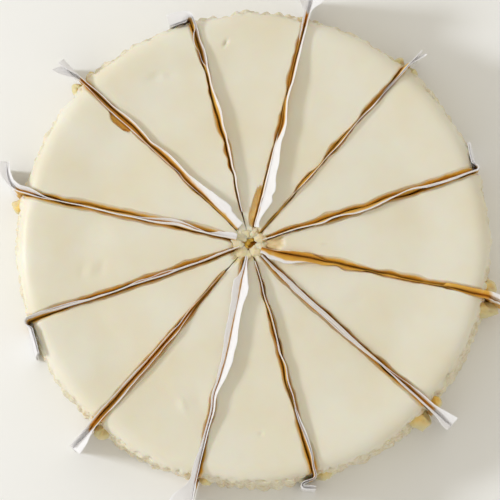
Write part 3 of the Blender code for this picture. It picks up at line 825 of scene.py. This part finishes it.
              (70, -2.2), (75, -1.2), (80, -1.7), (88, -2.2), (96, -1.7), (102, -0.9),
              (112, -0.7), (124, 0.2)),
             ((12, -3.2), (18, -4.6), (30, -3.6), (42, -1.4), (60, -0.9), (76, -0.5), (100, -0.4),
              (124, 0.0)),
             ((12, 1.6), (24, 2.6), (60, 2.4), (100, 1.8), (124, 2.6)), (-0.2, 3.6), 3.2),
        inner=10.0, out=15.5),
)


# ---------------------------------------------------------------- the slices


@dataclass(frozen=True)
class Dimple:
    """A small hollow in the baked top, or a swelling where it is less than 0 deep, mm."""

    x: float
    y: float
    wide: float
    deep: float
    long: float = 1.0  # length over width
    bearing: float = 0.0


@dataclass(frozen=True)
class Chip:
    """A place where the skin has torn away beside a cut, mm."""

    side: Side  # which side of the slice: LEFT is beside its first cut
    start: float
    end: float
    wide: float
    deep: float
    golden_shade: float = 0.1  # how much painted golden shade the bared curd gets


DIMPLES: tuple[Dimple, ...] = (
    Dimple(-51.5, 90.6, 2.4, 0.825, 1.5, 20.0),
    Dimple(-44.4, 91.2, 1.8, 0.675, 1.6, -10.0),
    Dimple(-15.8, 108.6, 0.9, 1.5, 2.4, 60.0),
    Dimple(-79.4, -11.8, 2.4, 0.45, 2.0, 75.0),
    Dimple(-85.2, -13.4, 1.8, -0.33, 2.6, 80.0),
    Dimple(-90.0, -13.0, 1.6, 0.3, 2.6, 80.0),
    Dimple(-36.6, -83.5, 2.0, -0.675, 2.4, -60.0),
    Dimple(-27.5, -80.0, 4.5, 0.525, 1.6, -70.0),
    Dimple(55.0, -28.5, 4.0, 0.48, 1.5, 20.0),
    Dimple(5.3, -99.0, 0.9, 0.75, 1.4, 90.0),
    Dimple(38.1, 1.0, 0.9, 0.675),
    Dimple(-63.0, 46.0, 9.0, 0.525, 1.4, -40.0),
    Dimple(73.0, -60.0, 12.0, 0.45),
    Dimple(-82.0, 20.0, 8.0, 0.45, 2.0, 80.0),
)


@dataclass
class Slice:
    """One slice: a block of cells bent to a wedge of the cake."""

    number: int
    tip: float = 3.6
    moved: float = 0.3
    sunk: float = 0.0  # distance from the middle within which the skin is gone
    chips: tuple[Chip, ...] = ()
    cells: tuple[int, int, int] = (68, 112, 32)
    shoulder: float = 8.5  # how far in from the corner the top starts to fall
    flute_mm: float = 6.4  # width of one pucker of the tin's lining
    lip_mm: float = 0.55  # radius of a cut's rounded lip
    fray_mm: tuple[float, float] = (5.0, 2.2)  # width of the coarse and fine tears of a cut
    fray_deep: tuple[float, float] = (0.42, 0.20)
    knob_mm: tuple[float, float] = (7.5, 3.4)  # width of the large and small knobs of the side
    knob_high: tuple[float, float] = (1.7, 1.0)
    pit_mm: float = 2.6  # width of a pit between the knobs
    pit_deep: float = 2.2
    shade_depth_mm: float = 30.0  # depth scale of the painted golden glow and painted brown shade inside a cut

    def cuts(self) -> tuple[Cut, Cut]:
        """The cuts before and after the slice, going clockwise."""
        return CUTS[self.number - 1], CUTS[self.number % len(CUTS)]

    def outer_radius(self, height: np.ndarray) -> np.ndarray:
        """Radius of the side at a height, with its slight flare and rounded foot."""
        flare = CORNER_R + (FOOT_R - CORNER_R) * (1.0 - height / CORNER_Z) ** 0.55
        return flare - 1.2 * (1.0 - ease(0.0, 2.2, height))

    def skin_height(self, plan: np.ndarray) -> np.ndarray:
        """Height of the baked top over points in plan.

        Args:
            plan: Array of n by 2, mm.

        Returns:
            Height, mm.
        """
        radius = np.hypot(*(plan - TIN_AXIS).T)
        share = np.clip((radius - (CORNER_R - self.shoulder)) / self.shoulder, 0.0, 1.0)
        dished = MIDDLE_Z + (CREST_Z - MIDDLE_Z) * ease(87.0, 117.0, radius)
        height = CORNER_Z + (dished - CORNER_Z) * (1.0 - share ** 2.2) ** (1.0 / 2.2)
        flat = np.column_stack((plan, np.zeros(len(plan))))
        height += 0.30 * grain(flat, 34.0, 5) + 0.10 * grain(flat, 12.0, 6)
        height += 0.025 * grain(flat, 3.5, 7)
        for spot in DIMPLES:
            ahead = bearing_vectors(spot.bearing)
            local = plan - np.array((spot.x, spot.y))
            run = (local @ ahead) / (spot.wide * spot.long)
            across = (local @ quarter_left(ahead)) / spot.wide
            height -= spot.deep * np.exp(-(run ** 2 + across ** 2))
        return height

    def lattice(self) -> tuple[np.ndarray, np.ndarray, np.ndarray, list[tuple[int, ...]]]:
        """Share the lattice out, with finer cells by the cuts, the rim and the top.

        Returns:
            Shares from 0 to 1 for each node (across from the first cut to the second, out
            from the tip to the rim, up from the underside), and the quads.
        """
        nodes, quads = lattice_skin(self.cells)
        u, v, t = (nodes[:, axis] / self.cells[axis] for axis in range(3))
        across = u - 0.62 * np.sin(2.0 * math.pi * u) / (2.0 * math.pi)
        out = 0.62 * v + 0.38 * (1.0 - (1.0 - v) ** 2.2)
        up = 1.0 - (1.0 - t) ** 1.45
        return across, out, up, quads

    def build(self) -> bpy.types.Object:
        """Bend the block to the slice's shape.

        Returns:
            The slice, in the place of its solid.
        """
        before, after = self.cuts()
        swing = (before.bearing - after.bearing) % 360.0
        across, out, up, quads = self.lattice()
        bearing = before.bearing - swing * across
        rays = bearing_vectors(bearing)
        middle = bearing_vectors(before.bearing - 0.5 * swing)
        level = up * CORNER_Z
        far_top = reach_to_circle(bearing, CORNER_R)
        far = reach_to_circle(bearing, self.outer_radius(level))
        far += self.rim_relief(bearing, level)
        far_top += self.rim_relief(bearing, np.full(len(level), CORNER_Z))
        tip = self.tip + 0.9 * np.sin(math.pi * across)
        along = tip + (far - tip) * out
        along_top = tip + (far_top - tip) * out
        flat_top = MEETING + middle * self.moved + rays * along_top[:, None]
        width = np.radians(swing) * along_top + follow(before.right_wall, along_top)
        width = np.maximum(width - follow(after.left_wall, along_top), 0.8)
        height, torn, golden_shade = self.top_with_tears(flat_top, along_top, across, width)
        z = up * height
        down = height - z
        spots = np.column_stack((flat_top, z))
        right_wall = before.wall(Side.RIGHT, along, down)
        right_wall -= self.fray(spots, along, down, 40) - CLOSED * self.torn_share(along, down)
        left_wall = after.wall(Side.LEFT, along, down)
        left_wall += self.fray(spots, along, down, 60) + CLOSED * self.torn_share(along, down)
        shift = (1.0 - across)[:, None] * quarter_left(before.heading()) * right_wall[:, None]
        shift += across[:, None] * quarter_left(after.heading()) * left_wall[:, None]
        plan = MEETING + middle * self.moved + rays * along[:, None] + shift
        points = np.column_stack((plan, z))
        away = (plan - TIN_AXIS) / np.hypot(*(plan - TIN_AXIS).T)[:, None]
        rim = ease(0.955, 1.0, out) * ease(-5.0, 0.5, CORNER_Z - z)
        points[:, :2] += away * (rim * self.knobs_and_pits(points))[:, None]
        wall_share = np.where((across <= 0.0) | (across >= 1.0) | (out <= 0.0), 1.0, 0.0)
        inner = np.maximum(wall_share * ease(0.1, 0.7, down), torn)
        inner *= 1.0 - 0.9 * ease(0.985, 1.0, out) * (1.0 - torn)
        # The depth value drives the painted golden glow and painted brown shade on the cut faces;
        # torn chips add their own amount of it.
        fields = {"inner": inner, "rim": ease(0.985, 1.0, out) * ease(0.3, 3.0, TOP_Z - 3.6 - z),
                  "depth": np.clip(down / self.shade_depth_mm + golden_shade, 0.0, 1.0)}
        return write_mesh(f"cake_slice_{self.number:02d}", points, quads, fields, 50.0)

    def torn_share(self, along: np.ndarray, down: np.ndarray) -> np.ndarray:
        """How strongly the knife has torn a cut's wall, near 0 low down, up to 1."""
        return (0.12 + 0.88 * narrowing(down)) * ease(6.0, 16.0, along)

    def fray(self, spots: np.ndarray, along: np.ndarray, down: np.ndarray,
             seed: int) -> np.ndarray:
        """How far a wall of a cut stands out of its line where it is torn.

        Args:
            spots: Points on the wall, n by 3, mm.
            along: Distance from the meeting point, mm.
            down: Depth below the cake's top, mm.
            seed: Chooses the pattern.

        Returns:
            Offset, mm.
        """
        (coarse, fine), (deep, slight) = self.fray_mm, self.fray_deep
        tears = deep * grain(spots, coarse, seed + self.number)
        tears = tears + slight * grain(spots, fine, seed + 1)
        return tears * self.torn_share(along, down)

    def knobs_and_pits(self, points: np.ndarray) -> np.ndarray:
        """How far the side's crumbs stand out and its holes go in.

        Args:
            points: Points on the side, n by 3, mm.

        Returns:
            Distance outwards, mm.
        """
        (large, small), (high, low) = self.knob_mm, self.knob_high
        knobs = high * grain(points, large, 73) + low * grain(points, small, 71)
        pits = np.clip(grain(points, self.pit_mm, 72) - 0.1, 0.0, 1.0)
        return knobs - self.pit_deep * pits

    def rim_relief(self, bearing: np.ndarray, level: np.ndarray) -> np.ndarray:
        """How far the rim stands in or out, from the puckers of the tin's lining.

        Args:
            bearing: Direction from the middle, degrees.
            level: Height, mm.

        Returns:
            Distance outwards, mm.
        """
        turn = np.radians(bearing)
        ring = np.column_stack((123.0 * np.cos(turn), 123.0 * np.sin(turn), level * 0.12))
        warp = 0.8 * grain(ring, 21.0, 11)
        wave = np.abs(np.sin(math.pi * (123.0 * turn / self.flute_mm + warp)))
        strength = 0.7 + 0.8 * (grain(ring, 30.0, 12) * 0.5 + 0.5)
        swell = 0.9 * grain(ring, 26.0, 13) + 0.35 * grain(ring, 9.0, 14)
        return strength * (wave ** 0.7 - 0.6) + swell * 0.55

    def top_with_tears(self, plan: np.ndarray, along: np.ndarray, across: np.ndarray,
                       width: np.ndarray) -> tuple[np.ndarray, np.ndarray, np.ndarray]:
        """The top's height with rounded cut edges, a broken tip and torn chips.

        Args:
            plan: Points in plan, mm.
            along: Distance from the meeting point, mm.
            across: Share across the slice.
            width: Width of the slice there, mm.

        Returns:
            Height, mm, how far the skin is torn, and how much painted golden shade it gets there, 0
            to 1.
        """
        height = self.skin_height(plan)
        flat = np.column_stack((plan, np.zeros(len(plan))))
        from_edge = np.minimum(across, 1.0 - across) * width
        lip = self.lip_mm + 0.3 * grain(flat, 6.0, 21)
        near = np.clip(1.0 - from_edge / lip, 0.0, 1.0)
        height -= lip * (1.0 - np.sqrt(np.clip(1.0 - near ** 2, 0.0, 1.0)))
        height -= 0.25 * np.exp(-from_edge / 3.0)
        torn, golden_shade = np.zeros(len(plan)), np.zeros(len(plan))
        ragged = 1.2 * grain(flat, 3.0, 22)
        if self.sunk > 0.0:
            gone = 1.0 - ease(self.sunk - 1.2, self.sunk + 0.6, along + ragged)
            height -= gone * (1.6 + 0.7 * grain(flat, 2.5, 23))
            torn = np.maximum(torn, gone)
        mashed = 1.0 - ease(self.tip, self.tip + 5.0, along)
        height -= mashed * (1.2 + 0.8 * grain(flat, 2.2, 24))
        for chip in self.chips:
            distance = (across if chip.side is Side.LEFT else 1.0 - across) * width
            run = (along - chip.start) / (chip.end - chip.start)
            reach = chip.wide * np.sqrt(np.clip(4.0 * run * (1.0 - run), 0.0, 1.0))
            reach = reach + np.where(reach > 0.1, 0.5 * grain(flat, 2.4, 25), 0.0)
            gone = (1.0 - ease(-0.35, 0.35, distance - reach)) * (reach > 0.15)
            height -= gone * (chip.deep + 0.5 * grain(flat, 2.0, 26))
            torn = np.maximum(torn, gone)
            golden_shade = np.maximum(golden_shade, gone * chip.golden_shade)
        return height, torn, golden_shade


SLICES: tuple[Slice, ...] = (
    Slice(1, 3.0, 0.4, sunk=7.0, chips=(Chip(Side.RIGHT, 9.0, 31.0, 3.4, 1.8, 0.02),)),
    Slice(2, 2.6, 0.2, sunk=8.5),
    Slice(3, 2.5, 0.4, sunk=9.0),
    Slice(4, 3.0, 0.5, sunk=16.5),
    Slice(5, 2.7, 0.3, sunk=9.5),
    Slice(6, 2.8, 0.4, sunk=8.5),
    Slice(7, 2.7, 0.4, sunk=9.5),
    Slice(8, 2.9, 0.4, sunk=12.0),
    Slice(9, 2.7, 0.2, sunk=11.0),
    Slice(10, 2.9, 0.3, sunk=10.0),
    Slice(11, 2.8, 0.2, sunk=9.0, chips=(Chip(Side.RIGHT, 87.0, 102.0, 2.4, 2.4, 0.12),)),
    Slice(12, 2.7, 0.3, sunk=7.5),
)


# ---------------------------------------------------------------- squeezed-out curd


def knobbly_ball(seed: int, rough: float,
                 rings: int = 22, spokes: int = 30) -> tuple[np.ndarray, list[tuple[int, ...]]]:
    """A lump of curd of about unit radius.

    Args:
        seed: Chooses its shape.
        rough: How uneven it is, as a share of its radius.
        rings: Cells from pole to pole.
        spokes: Cells round it.

    Returns:
        Points and quads; the points at each pole lie together.
    """
    theta = np.pi * np.arange(rings + 1) / rings
    phi = 2.0 * np.pi * np.arange(spokes) / spokes
    theta_grid, phi_grid = np.meshgrid(theta, phi, indexing="ij")
    ball = np.stack((np.sin(theta_grid) * np.cos(phi_grid),
                     np.sin(theta_grid) * np.sin(phi_grid), np.cos(theta_grid)), axis=-1)
    ball = ball.reshape(-1, 3)
    ball[:spokes] = (0.0, 0.0, 1.0)
    ball[-spokes:] = (0.0, 0.0, -1.0)
    swell = 1.0 + rough * (grain(ball * 4.0, 2.6, seed) + 0.5 * grain(ball * 4.0, 1.1, seed + 1))
    quads = []
    for ring in range(rings):
        for spoke in range(spokes):
            a, b = ring * spokes + spoke, ring * spokes + (spoke + 1) % spokes
            quads.append((a, a + spokes, b + spokes, b))
    return ball * swell[:, None], quads


def write_lump(name: str, points: np.ndarray, quads: Iterable[Sequence[int]],
               fields: dict[str, np.ndarray]) -> bpy.types.Object:
    """Make a lump's object and join the points at its poles.

    Args:
        name: The object's name.
        points: Array of n by 3, mm.
        quads: Faces by point index.
        fields: Named values a point, kept for the finish.

    Returns:
        The lump.
    """
    obj = write_mesh(name, points, quads, fields, 180.0)
    weld = obj.modifiers.new("poles", "WELD")
    weld.merge_threshold = 0.000005
    settle(obj)
    return obj


@dataclass(frozen=True)
class Crumb:
    """A crumb of torn curd, placed from where the cuts meet, mm."""

    x: float
    y: float
    z: float
    size: float
    painted_shade: float  # painted shade: how far golden to brown the crumb is painted, more for crumbs lower in the hole, 0 to 1
    squat: float = 0.8  # height over width

    def build(self, number: int) -> bpy.types.Object:
        """Make the crumb.

        Args:
            number: Its number, for its name and shape.

        Returns:
            The crumb.
        """
        ball, quads = knobbly_ball(300 + 2 * number, 0.42, 16, 22)
        points = ball * self.size * np.array((1.12, 0.95, self.squat))
        ahead = np.array((self.x, self.y)) / math.hypot(self.x, self.y)
        plan = points[:, :1] * ahead + points[:, 1:2] * quarter_left(ahead)
        points = np.column_stack((plan + MEETING + (self.x, self.y), points[:, 2] + self.z))
        fields = {"inner": np.full(len(points), 0.5 + 0.5 * min(self.painted_shade * 20.0, 1.0)),
                  "rim": np.full(len(points), 0.2),
                  "depth": np.full(len(points), self.painted_shade)}
        return write_lump(f"crumb_{number:02d}", points, quads, fields)


# The lowest crumbs, down in the hole where the slices meet, are painted golden to dark brown as the
# hole's shade; the crumbs on top keep the cut's cream.
CRUMBS: tuple[Crumb, ...] = (
    Crumb(-2.6, 0.9, 41.2, 2.2, 0.10, 0.6),
    Crumb(1.6, -0.6, 37.4, 2.6, 1.00),
    Crumb(0.2, -2.6, 40.4, 1.7, 0.30, 0.6),
    Crumb(-3.0, -2.4, 42.0, 1.8, 0.06, 0.5),
    Crumb(0.5, 3.0, 41.8, 1.9, 0.08, 0.5),
    Crumb(-0.6, 0.1, 38.4, 2.8, 0.60),
    Crumb(-4.9, 3.4, 43.6, 3.3, 0.0, 0.28),
    Crumb(1.9, 6.2, 43.7, 2.2, 0.0, 0.32),
    Crumb(-1.7, 5.6, 43.5, 3.0, 0.01, 0.3),
    Crumb(5.4, 3.2, 43.5, 2.9, 0.01, 0.3),
    Crumb(6.3, -1.1, 43.5, 2.4, 0.0, 0.32),
    Crumb(3.3, -4.8, 43.3, 2.9, 0.01, 0.3),
    Crumb(-1.0, -5.9, 43.3, 2.2, 0.01, 0.32),
    Crumb(-6.6, -0.3, 43.6, 2.7, 0.0, 0.28),
    Crumb(-4.6, -4.6, 43.4, 3.1, 0.01, 0.28),
)


@dataclass(frozen=True)
class Squeeze:
    """Soft curd pushed out of the rim beside a slip when the cake was cut, mm."""

    number: int
    cut: int
    side: Side
    reach: float
    wide: float
    low: float
    high: float
    tint: float  # how strongly the cut's painted golden shade shows on it, most on its top and inner face, 0 to 1
    root: float = 2.2  # how far inside the rim it starts

    def build(self) -> bpy.types.Object:
        """Swell a ball of curd out of the rim.

        Returns:
            The lump.
        """
        cut = CUTS[self.cut - 1]
        heading = cut.heading()
        sideways = quarter_left(heading) * self.side.value
        ball, quads = knobbly_ball(200 + 2 * self.number, 0.22)
        rim = float(reach_to_circle(cut.bearing, FOOT_R - 0.8))
        gap = abs(float(cut.wall(self.side, np.array(CORNER_R - 0.5), np.array(12.0))))
        centre = MEETING + heading * (rim - self.root) + sideways * (gap + 0.52 * self.wide)
        plan = centre + np.outer(ball[:, 0] * (self.reach + self.root), heading)
        plan = plan + np.outer(ball[:, 1] * 0.5 * self.wide, sideways)
        z = 0.5 * (self.low + self.high) + ball[:, 2] * 0.5 * (self.high - self.low)
        points = np.column_stack((plan, z))
        # Painted golden shade of the cut: the lump's top and its face towards the cake take more of
        # the cut's painted colour.
        facing = ease(-0.2, 0.8, ball[:, 2] - 0.5 * ball[:, 0])
        fields = {"inner": np.clip(0.15 + self.tint * (0.4 + 0.9 * facing), 0.0, 1.0),
                  "rim": np.full(len(points), 0.5), "squeezed": np.ones(len(points)),
                  "depth": np.clip(0.10 * facing * self.tint, 0.0, 1.0)}
        return write_lump(f"squeezed_curd_{self.number:02d}", points, quads, fields)


SQUEEZES: tuple[Squeeze, ...] = (
    Squeeze(1, 3, Side.LEFT, 3.8, 7.5, 22.0, 40.0, 0.10),
    Squeeze(2, 3, Side.RIGHT, 3.4, 8.0, 22.0, 40.0, 0.05),
    Squeeze(3, 5, Side.LEFT, 5.8, 9.5, 14.0, 39.0, 0.45),
    Squeeze(4, 5, Side.RIGHT, 8.2, 9.5, 11.0, 38.0, 0.30),
    Squeeze(5, 6, Side.LEFT, 5.0, 8.0, 19.0, 40.0, 0.55),
    Squeeze(6, 6, Side.RIGHT, 8.2, 11.5, 9.0, 38.0, 0.40),
    Squeeze(7, 7, Side.LEFT, 4.2, 10.0, 12.0, 38.0, 0.30),
    Squeeze(8, 8, Side.LEFT, 3.4, 8.5, 12.0, 37.0, 0.30),
    Squeeze(9, 9, Side.LEFT, 5.8, 9.5, 11.0, 38.0, 0.20),
    Squeeze(10, 11, Side.LEFT, 5.6, 10.0, 13.0, 38.0, 0.55),
    Squeeze(11, 12, Side.LEFT, 4.8, 8.5, 15.0, 40.0, 0.05),
    Squeeze(12, 12, Side.RIGHT, 4.8, 7.0, 17.0, 40.0, 0.20),
)


# ---------------------------------------------------------------- the slips


@dataclass
class Slip:
    """A strip of greaseproof paper folded along its bottom, standing in its cut, mm."""

    cut: Cut
    thick: float = 0.14
    crease_mm: float = 6.5  # distance between soft creases along the top edge
    crumple_mm: float = 3.0  # and between the sharper ones near the middle
    flutter: float = 0.35  # waves of the free end
    gather: float = 1.3  # above 1, stations stand closer together near the middle
    stations: int = 112
    end_stations: int = 30
    rows: int = 15

    def line(self) -> tuple[np.ndarray, np.ndarray, np.ndarray, np.ndarray]:
        """The slip's own line in plan.

        Returns:
            Points, headings, distances from the meeting point, and shares past the rim.
        """
        cut = self.cut
        rim = float(reach_to_circle(cut.bearing, cut.rim))
        inside = cut.inner + (rim - cut.inner) * np.linspace(0.0, 1.0, self.stations) ** self.gather
        points = [MEETING + cut.heading() * d for d in inside]
        headings = [cut.heading() for _ in inside]
        past = [0.0] * len(inside)
        here = points[-1]
        step = cut.out / self.end_stations
        for i in range(self.end_stations):
            share = (i + 0.5) / self.end_stations
            heading = bearing_vectors(cut.bearing + cut.swing(share))
            here = here + heading * step
            points.append(here)
            headings.append(heading)
            past.append((i + 1) / self.end_stations)
        along = np.concatenate((inside, np.full(self.end_stations, rim)))
        return np.array(points), np.array(headings), along, np.array(past)

    def leaf_sheet(self, side: Side) -> tuple[np.ndarray, np.ndarray]:
        """One leaf as rows of points from the fold up, and how soaked they are.

        Args:
            side: Which leaf.

        Returns:
            Points, rows by stations by 3, and soak, rows by stations.
        """
        cut = self.cut
        shape = cut.left if side is Side.LEFT else cut.right
        points, headings, along, past = self.line()
        lefts = quarter_left(headings)
        ripple = cut.ripple(along) * 0.8 * (1.0 - past)
        neck_in = cut.necks(along)[side] + ripple
        crease = grain(np.column_stack((along, np.full((len(along), 2), 5.0 * cut.number))),
                       self.crease_mm, 84 + side.value)
        crumple = grain(np.column_stack((along, np.full((len(along), 2), 9.0 * cut.number))),
                        self.crumple_mm, 86 + side.value) * (1.0 - ease(26.0, 40.0, along))
        lean_in = follow(shape.lean, along) * (1.0 + 0.14 * crease + 0.10 * crumple)
        centre = 0.5 * (follow(cut.left_wall, along) + follow(cut.right_wall, along))
        low_in = FOLLOWING * centre + side.value * LEAF_ROOM
        blend = ease(0.0, cut.taken, past)
        neck = neck_in + (shape.tip_neck - neck_in) * blend
        top = (neck_in + lean_in) * (1.0 - blend) + shape.tip_top * blend
        rise = follow(shape.rise, along)
        rise = rise + (shape.tip_rise - rise) * blend
        spots = np.column_stack((along + 40.0 * past, np.full(len(along), 3.0 * side.value),
                                 np.full(len(along), 11.0 * cut.number)))
        edge = 0.30 * grain(spots, 7.0, 81)
        top_z = TOP_Z + rise + 0.25 * grain(spots, 15.0, 82) + 0.22 * crumple
        rows, soak = [], []
        for q in np.linspace(0.0, 1.0, self.rows):
            share = 1.0 - (1.0 - q) ** 1.9
            z = FOLD_Z + 0.5 + (top_z - FOLD_Z - 0.5) * share
            down = TOP_Z - z
            in_cut = low_in + (neck_in - low_in) * narrowing(down)
            upper = np.clip(z / TOP_Z, 0.0, 1.0) ** 2.5
            free = side.value * 0.3 + (neck - side.value * 0.3) * upper
            offset = in_cut + (free - in_cut) * ease(0.0, 0.25, past)
            over = np.clip(-down / np.maximum(rise, 0.4), 0.0, 1.1)
            offset = offset + (top - neck) * over ** 1.25 + edge * over
            offset = offset + cut.sway(along, down + np.zeros(len(along))) * (1.0 - blend)
            wave = grain(np.column_stack((spots[:, 0], z, spots[:, 2])), 13.0, 83)
            offset = offset + self.flutter * wave * ease(0.2, 1.0, past)
            plan = points + lefts * offset[:, None]
            rows.append(np.column_stack((plan, z)))
            # The soak rises with depth below the cake's top, so the slip is darker amber further
            # down the cut.
            wet = ease(-cut.soak_from - 0.7, 0.3 - cut.soak_from, down) * (0.46 + 0.4 * ease(
                4.0, 24.0, down))
            soak.append(wet * (1.0 - cut.dry_end * ease(0.0, 0.35, past)))
        return np.array(rows), np.array(soak)

    def build(self) -> bpy.types.Object:
        """Fold the strip and give it its thickness.

        Returns:
            The slip, in the place of its solid.
        """
        left, left_soak = self.leaf_sheet(Side.LEFT)
        right, right_soak = self.leaf_sheet(Side.RIGHT)
        fold = 0.5 * (left[:1] + right[:1])
        fold[..., 2] = FOLD_Z
        sheet = np.concatenate((left[::-1], fold, right))
        soak = np.concatenate((left_soak[::-1], left_soak[:1], right_soak))
        rows, columns = soak.shape
        quads = [(r * columns + c, r * columns + c + 1, (r + 1) * columns + c + 1,
                  (r + 1) * columns + c)
                 for r in range(rows - 1) for c in range(columns - 1)]
        obj = write_mesh(f"paper_slip_{self.cut.number:02d}", sheet.reshape(-1, 3), quads,
                         {"soak": soak.ravel()}, 60.0)
        shell = obj.modifiers.new("thickness", "SOLIDIFY")
        shell.thickness = self.thick * MM
        shell.offset = 0.0
        settle(obj)
        return obj


# ---------------------------------------------------------------- the studio


@dataclass
class Studio:
    """Pale floor, soft light from the left and a camera looking almost straight down."""

    floor_half: float = 4.0  # metres, like the other lengths here
    key_power: float = 16.0
    key_colour: tuple[float, float, float] = (0.96, 1.0, 1.07)
    key_bearing: float = 174.0  # degrees
    key_height: float = 34.0
    key_distance: float = 1.9
    key_size: float = 0.32
    sky: float = 0.71
    sky_colour: tuple[float, float, float, float] = (1.0, 0.96, 0.875, 1.0)
    backdrop: tuple[float, float, float, float] = (1.0, 1.0, 1.0, 1.0)
    camera_height: float = 85.0
    camera_distance: float = 2.6
    field: float = 0.268  # width of the view at the cake, metres
    aim: tuple[float, float, float] = (-0.001138, 0.00045, 0.023)

    def build(self) -> None:
        """Set the floor, the lights, the world and the camera."""
        mesh = bpy.data.meshes.new("floor")
        half = self.floor_half
        corners = [(-half, -half, 0.0), (half, -half, 0.0), (half, half, 0.0), (-half, half, 0.0)]
        mesh.from_pydata(corners, [], [(0, 1, 2, 3)])
        floor = bpy.data.objects.new("floor", mesh)
        bpy.context.scene.collection.objects.link(floor)
        floor.data.materials.append(StudioFloor().build())
        self.light_key()
        self.light_sky()
        self.place_camera()

    def light_key(self) -> None:
        """A square soft box to the left of the cake."""
        data = bpy.data.lights.new("soft_box", "AREA")
        data.shape = "SQUARE"
        data.size = self.key_size
        data.energy = self.key_power
        data.color = self.key_colour
        lamp = bpy.data.objects.new("soft_box", data)
        bpy.context.scene.collection.objects.link(lamp)
        flat = bearing_vectors(self.key_bearing)
        tilt = math.radians(self.key_height)
        away = Vector((flat[0] * math.cos(tilt), flat[1] * math.cos(tilt), math.sin(tilt)))
        lamp.location = away * self.key_distance
        lamp.rotation_euler = away.to_track_quat("Z", "Y").to_euler()

    def light_sky(self) -> None:
        """An even pale sky that the camera sees as white."""
        world = bpy.data.worlds.new("studio")
        bpy.context.scene.world = world
        world.use_nodes = True
        tree = world.node_tree
        tree.nodes.clear()
        output = add_node(tree, "ShaderNodeOutputWorld")
        rays = add_node(tree, "ShaderNodeLightPath")
        shiny = add_node(tree, "ShaderNodeMath", {"operation": "MAXIMUM"},
                         in_0=rays.outputs["Is Glossy Ray"],
                         in_1=rays.outputs["Is Transmission Ray"])
        seen = add_node(tree, "ShaderNodeMath", {"operation": "MAXIMUM"},
                        in_0=rays.outputs["Is Camera Ray"], in_1=shiny.outputs[0])
        tint = add_node(tree, "ShaderNodeMix", {"data_type": "RGBA"}, Factor=seen.outputs[0],
                        in_6=self.sky_colour, in_7=self.backdrop)
        level = add_node(tree, "ShaderNodeMapRange", Value=seen.outputs[0], To_Min=self.sky,
                         To_Max=1.0)
        back = add_node(tree, "ShaderNodeBackground", Color=tint.outputs[2],
                        Strength=level.outputs["Result"])
        tree.links.new(back.outputs[0], output.inputs[0])

    def place_camera(self) -> None:
        """A long lens above the cake, a few degrees to the front."""
        data = bpy.data.cameras.new("camera")
        data.sensor_width = 36.0
        data.lens = 36.0 * self.camera_distance / self.field
        data.clip_end = 50.0
        camera = bpy.data.objects.new("camera", data)
        bpy.context.scene.collection.objects.link(camera)
        tilt = math.radians(self.camera_height)
        away = Vector((0.0, -math.cos(tilt), math.sin(tilt)))
        camera.location = Vector(self.aim) + away * self.camera_distance
        camera.rotation_euler = away.to_track_quat("Z", "Y").to_euler()
        bpy.context.scene.camera = camera
        bpy.context.scene.view_settings.view_transform = "Standard"


# ---------------------------------------------------------------- assembly


def dress(piece: bpy.types.Object, material: bpy.types.Material,
          node: str | None = None) -> None:
    """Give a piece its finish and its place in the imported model.

    Args:
        piece: The new piece.
        material: Its finish.
        node: The solid it stands for, if it stands for one.
    """
    piece.data.materials.clear()
    piece.data.materials.append(material)
    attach(piece, "root")
    if node:
        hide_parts(node)
    log.info("%s: %d faces", piece.name, len(piece.data.polygons))


def main() -> None:
    """Build the cake, its slips and the studio, and log each piece's face count."""
    logging.basicConfig(level=logging.INFO, format="%(name)s: %(message)s")
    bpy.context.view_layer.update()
    curd = BakedCurd().build()
    paper = Greaseproof().build()
    for wedge in SLICES:
        dress(wedge.build(), curd, f"slice_{wedge.number:02d}")
    for squeeze in SQUEEZES:
        dress(squeeze.build(), curd)
    for number, crumb in enumerate(CRUMBS, 1):
        dress(crumb.build(number), curd)
    for cut in CUTS:
        dress(Slip(cut).build(), paper, f"paper_{cut.number:02d}")
    Studio().build()


if __name__ == "__main__":
    main()
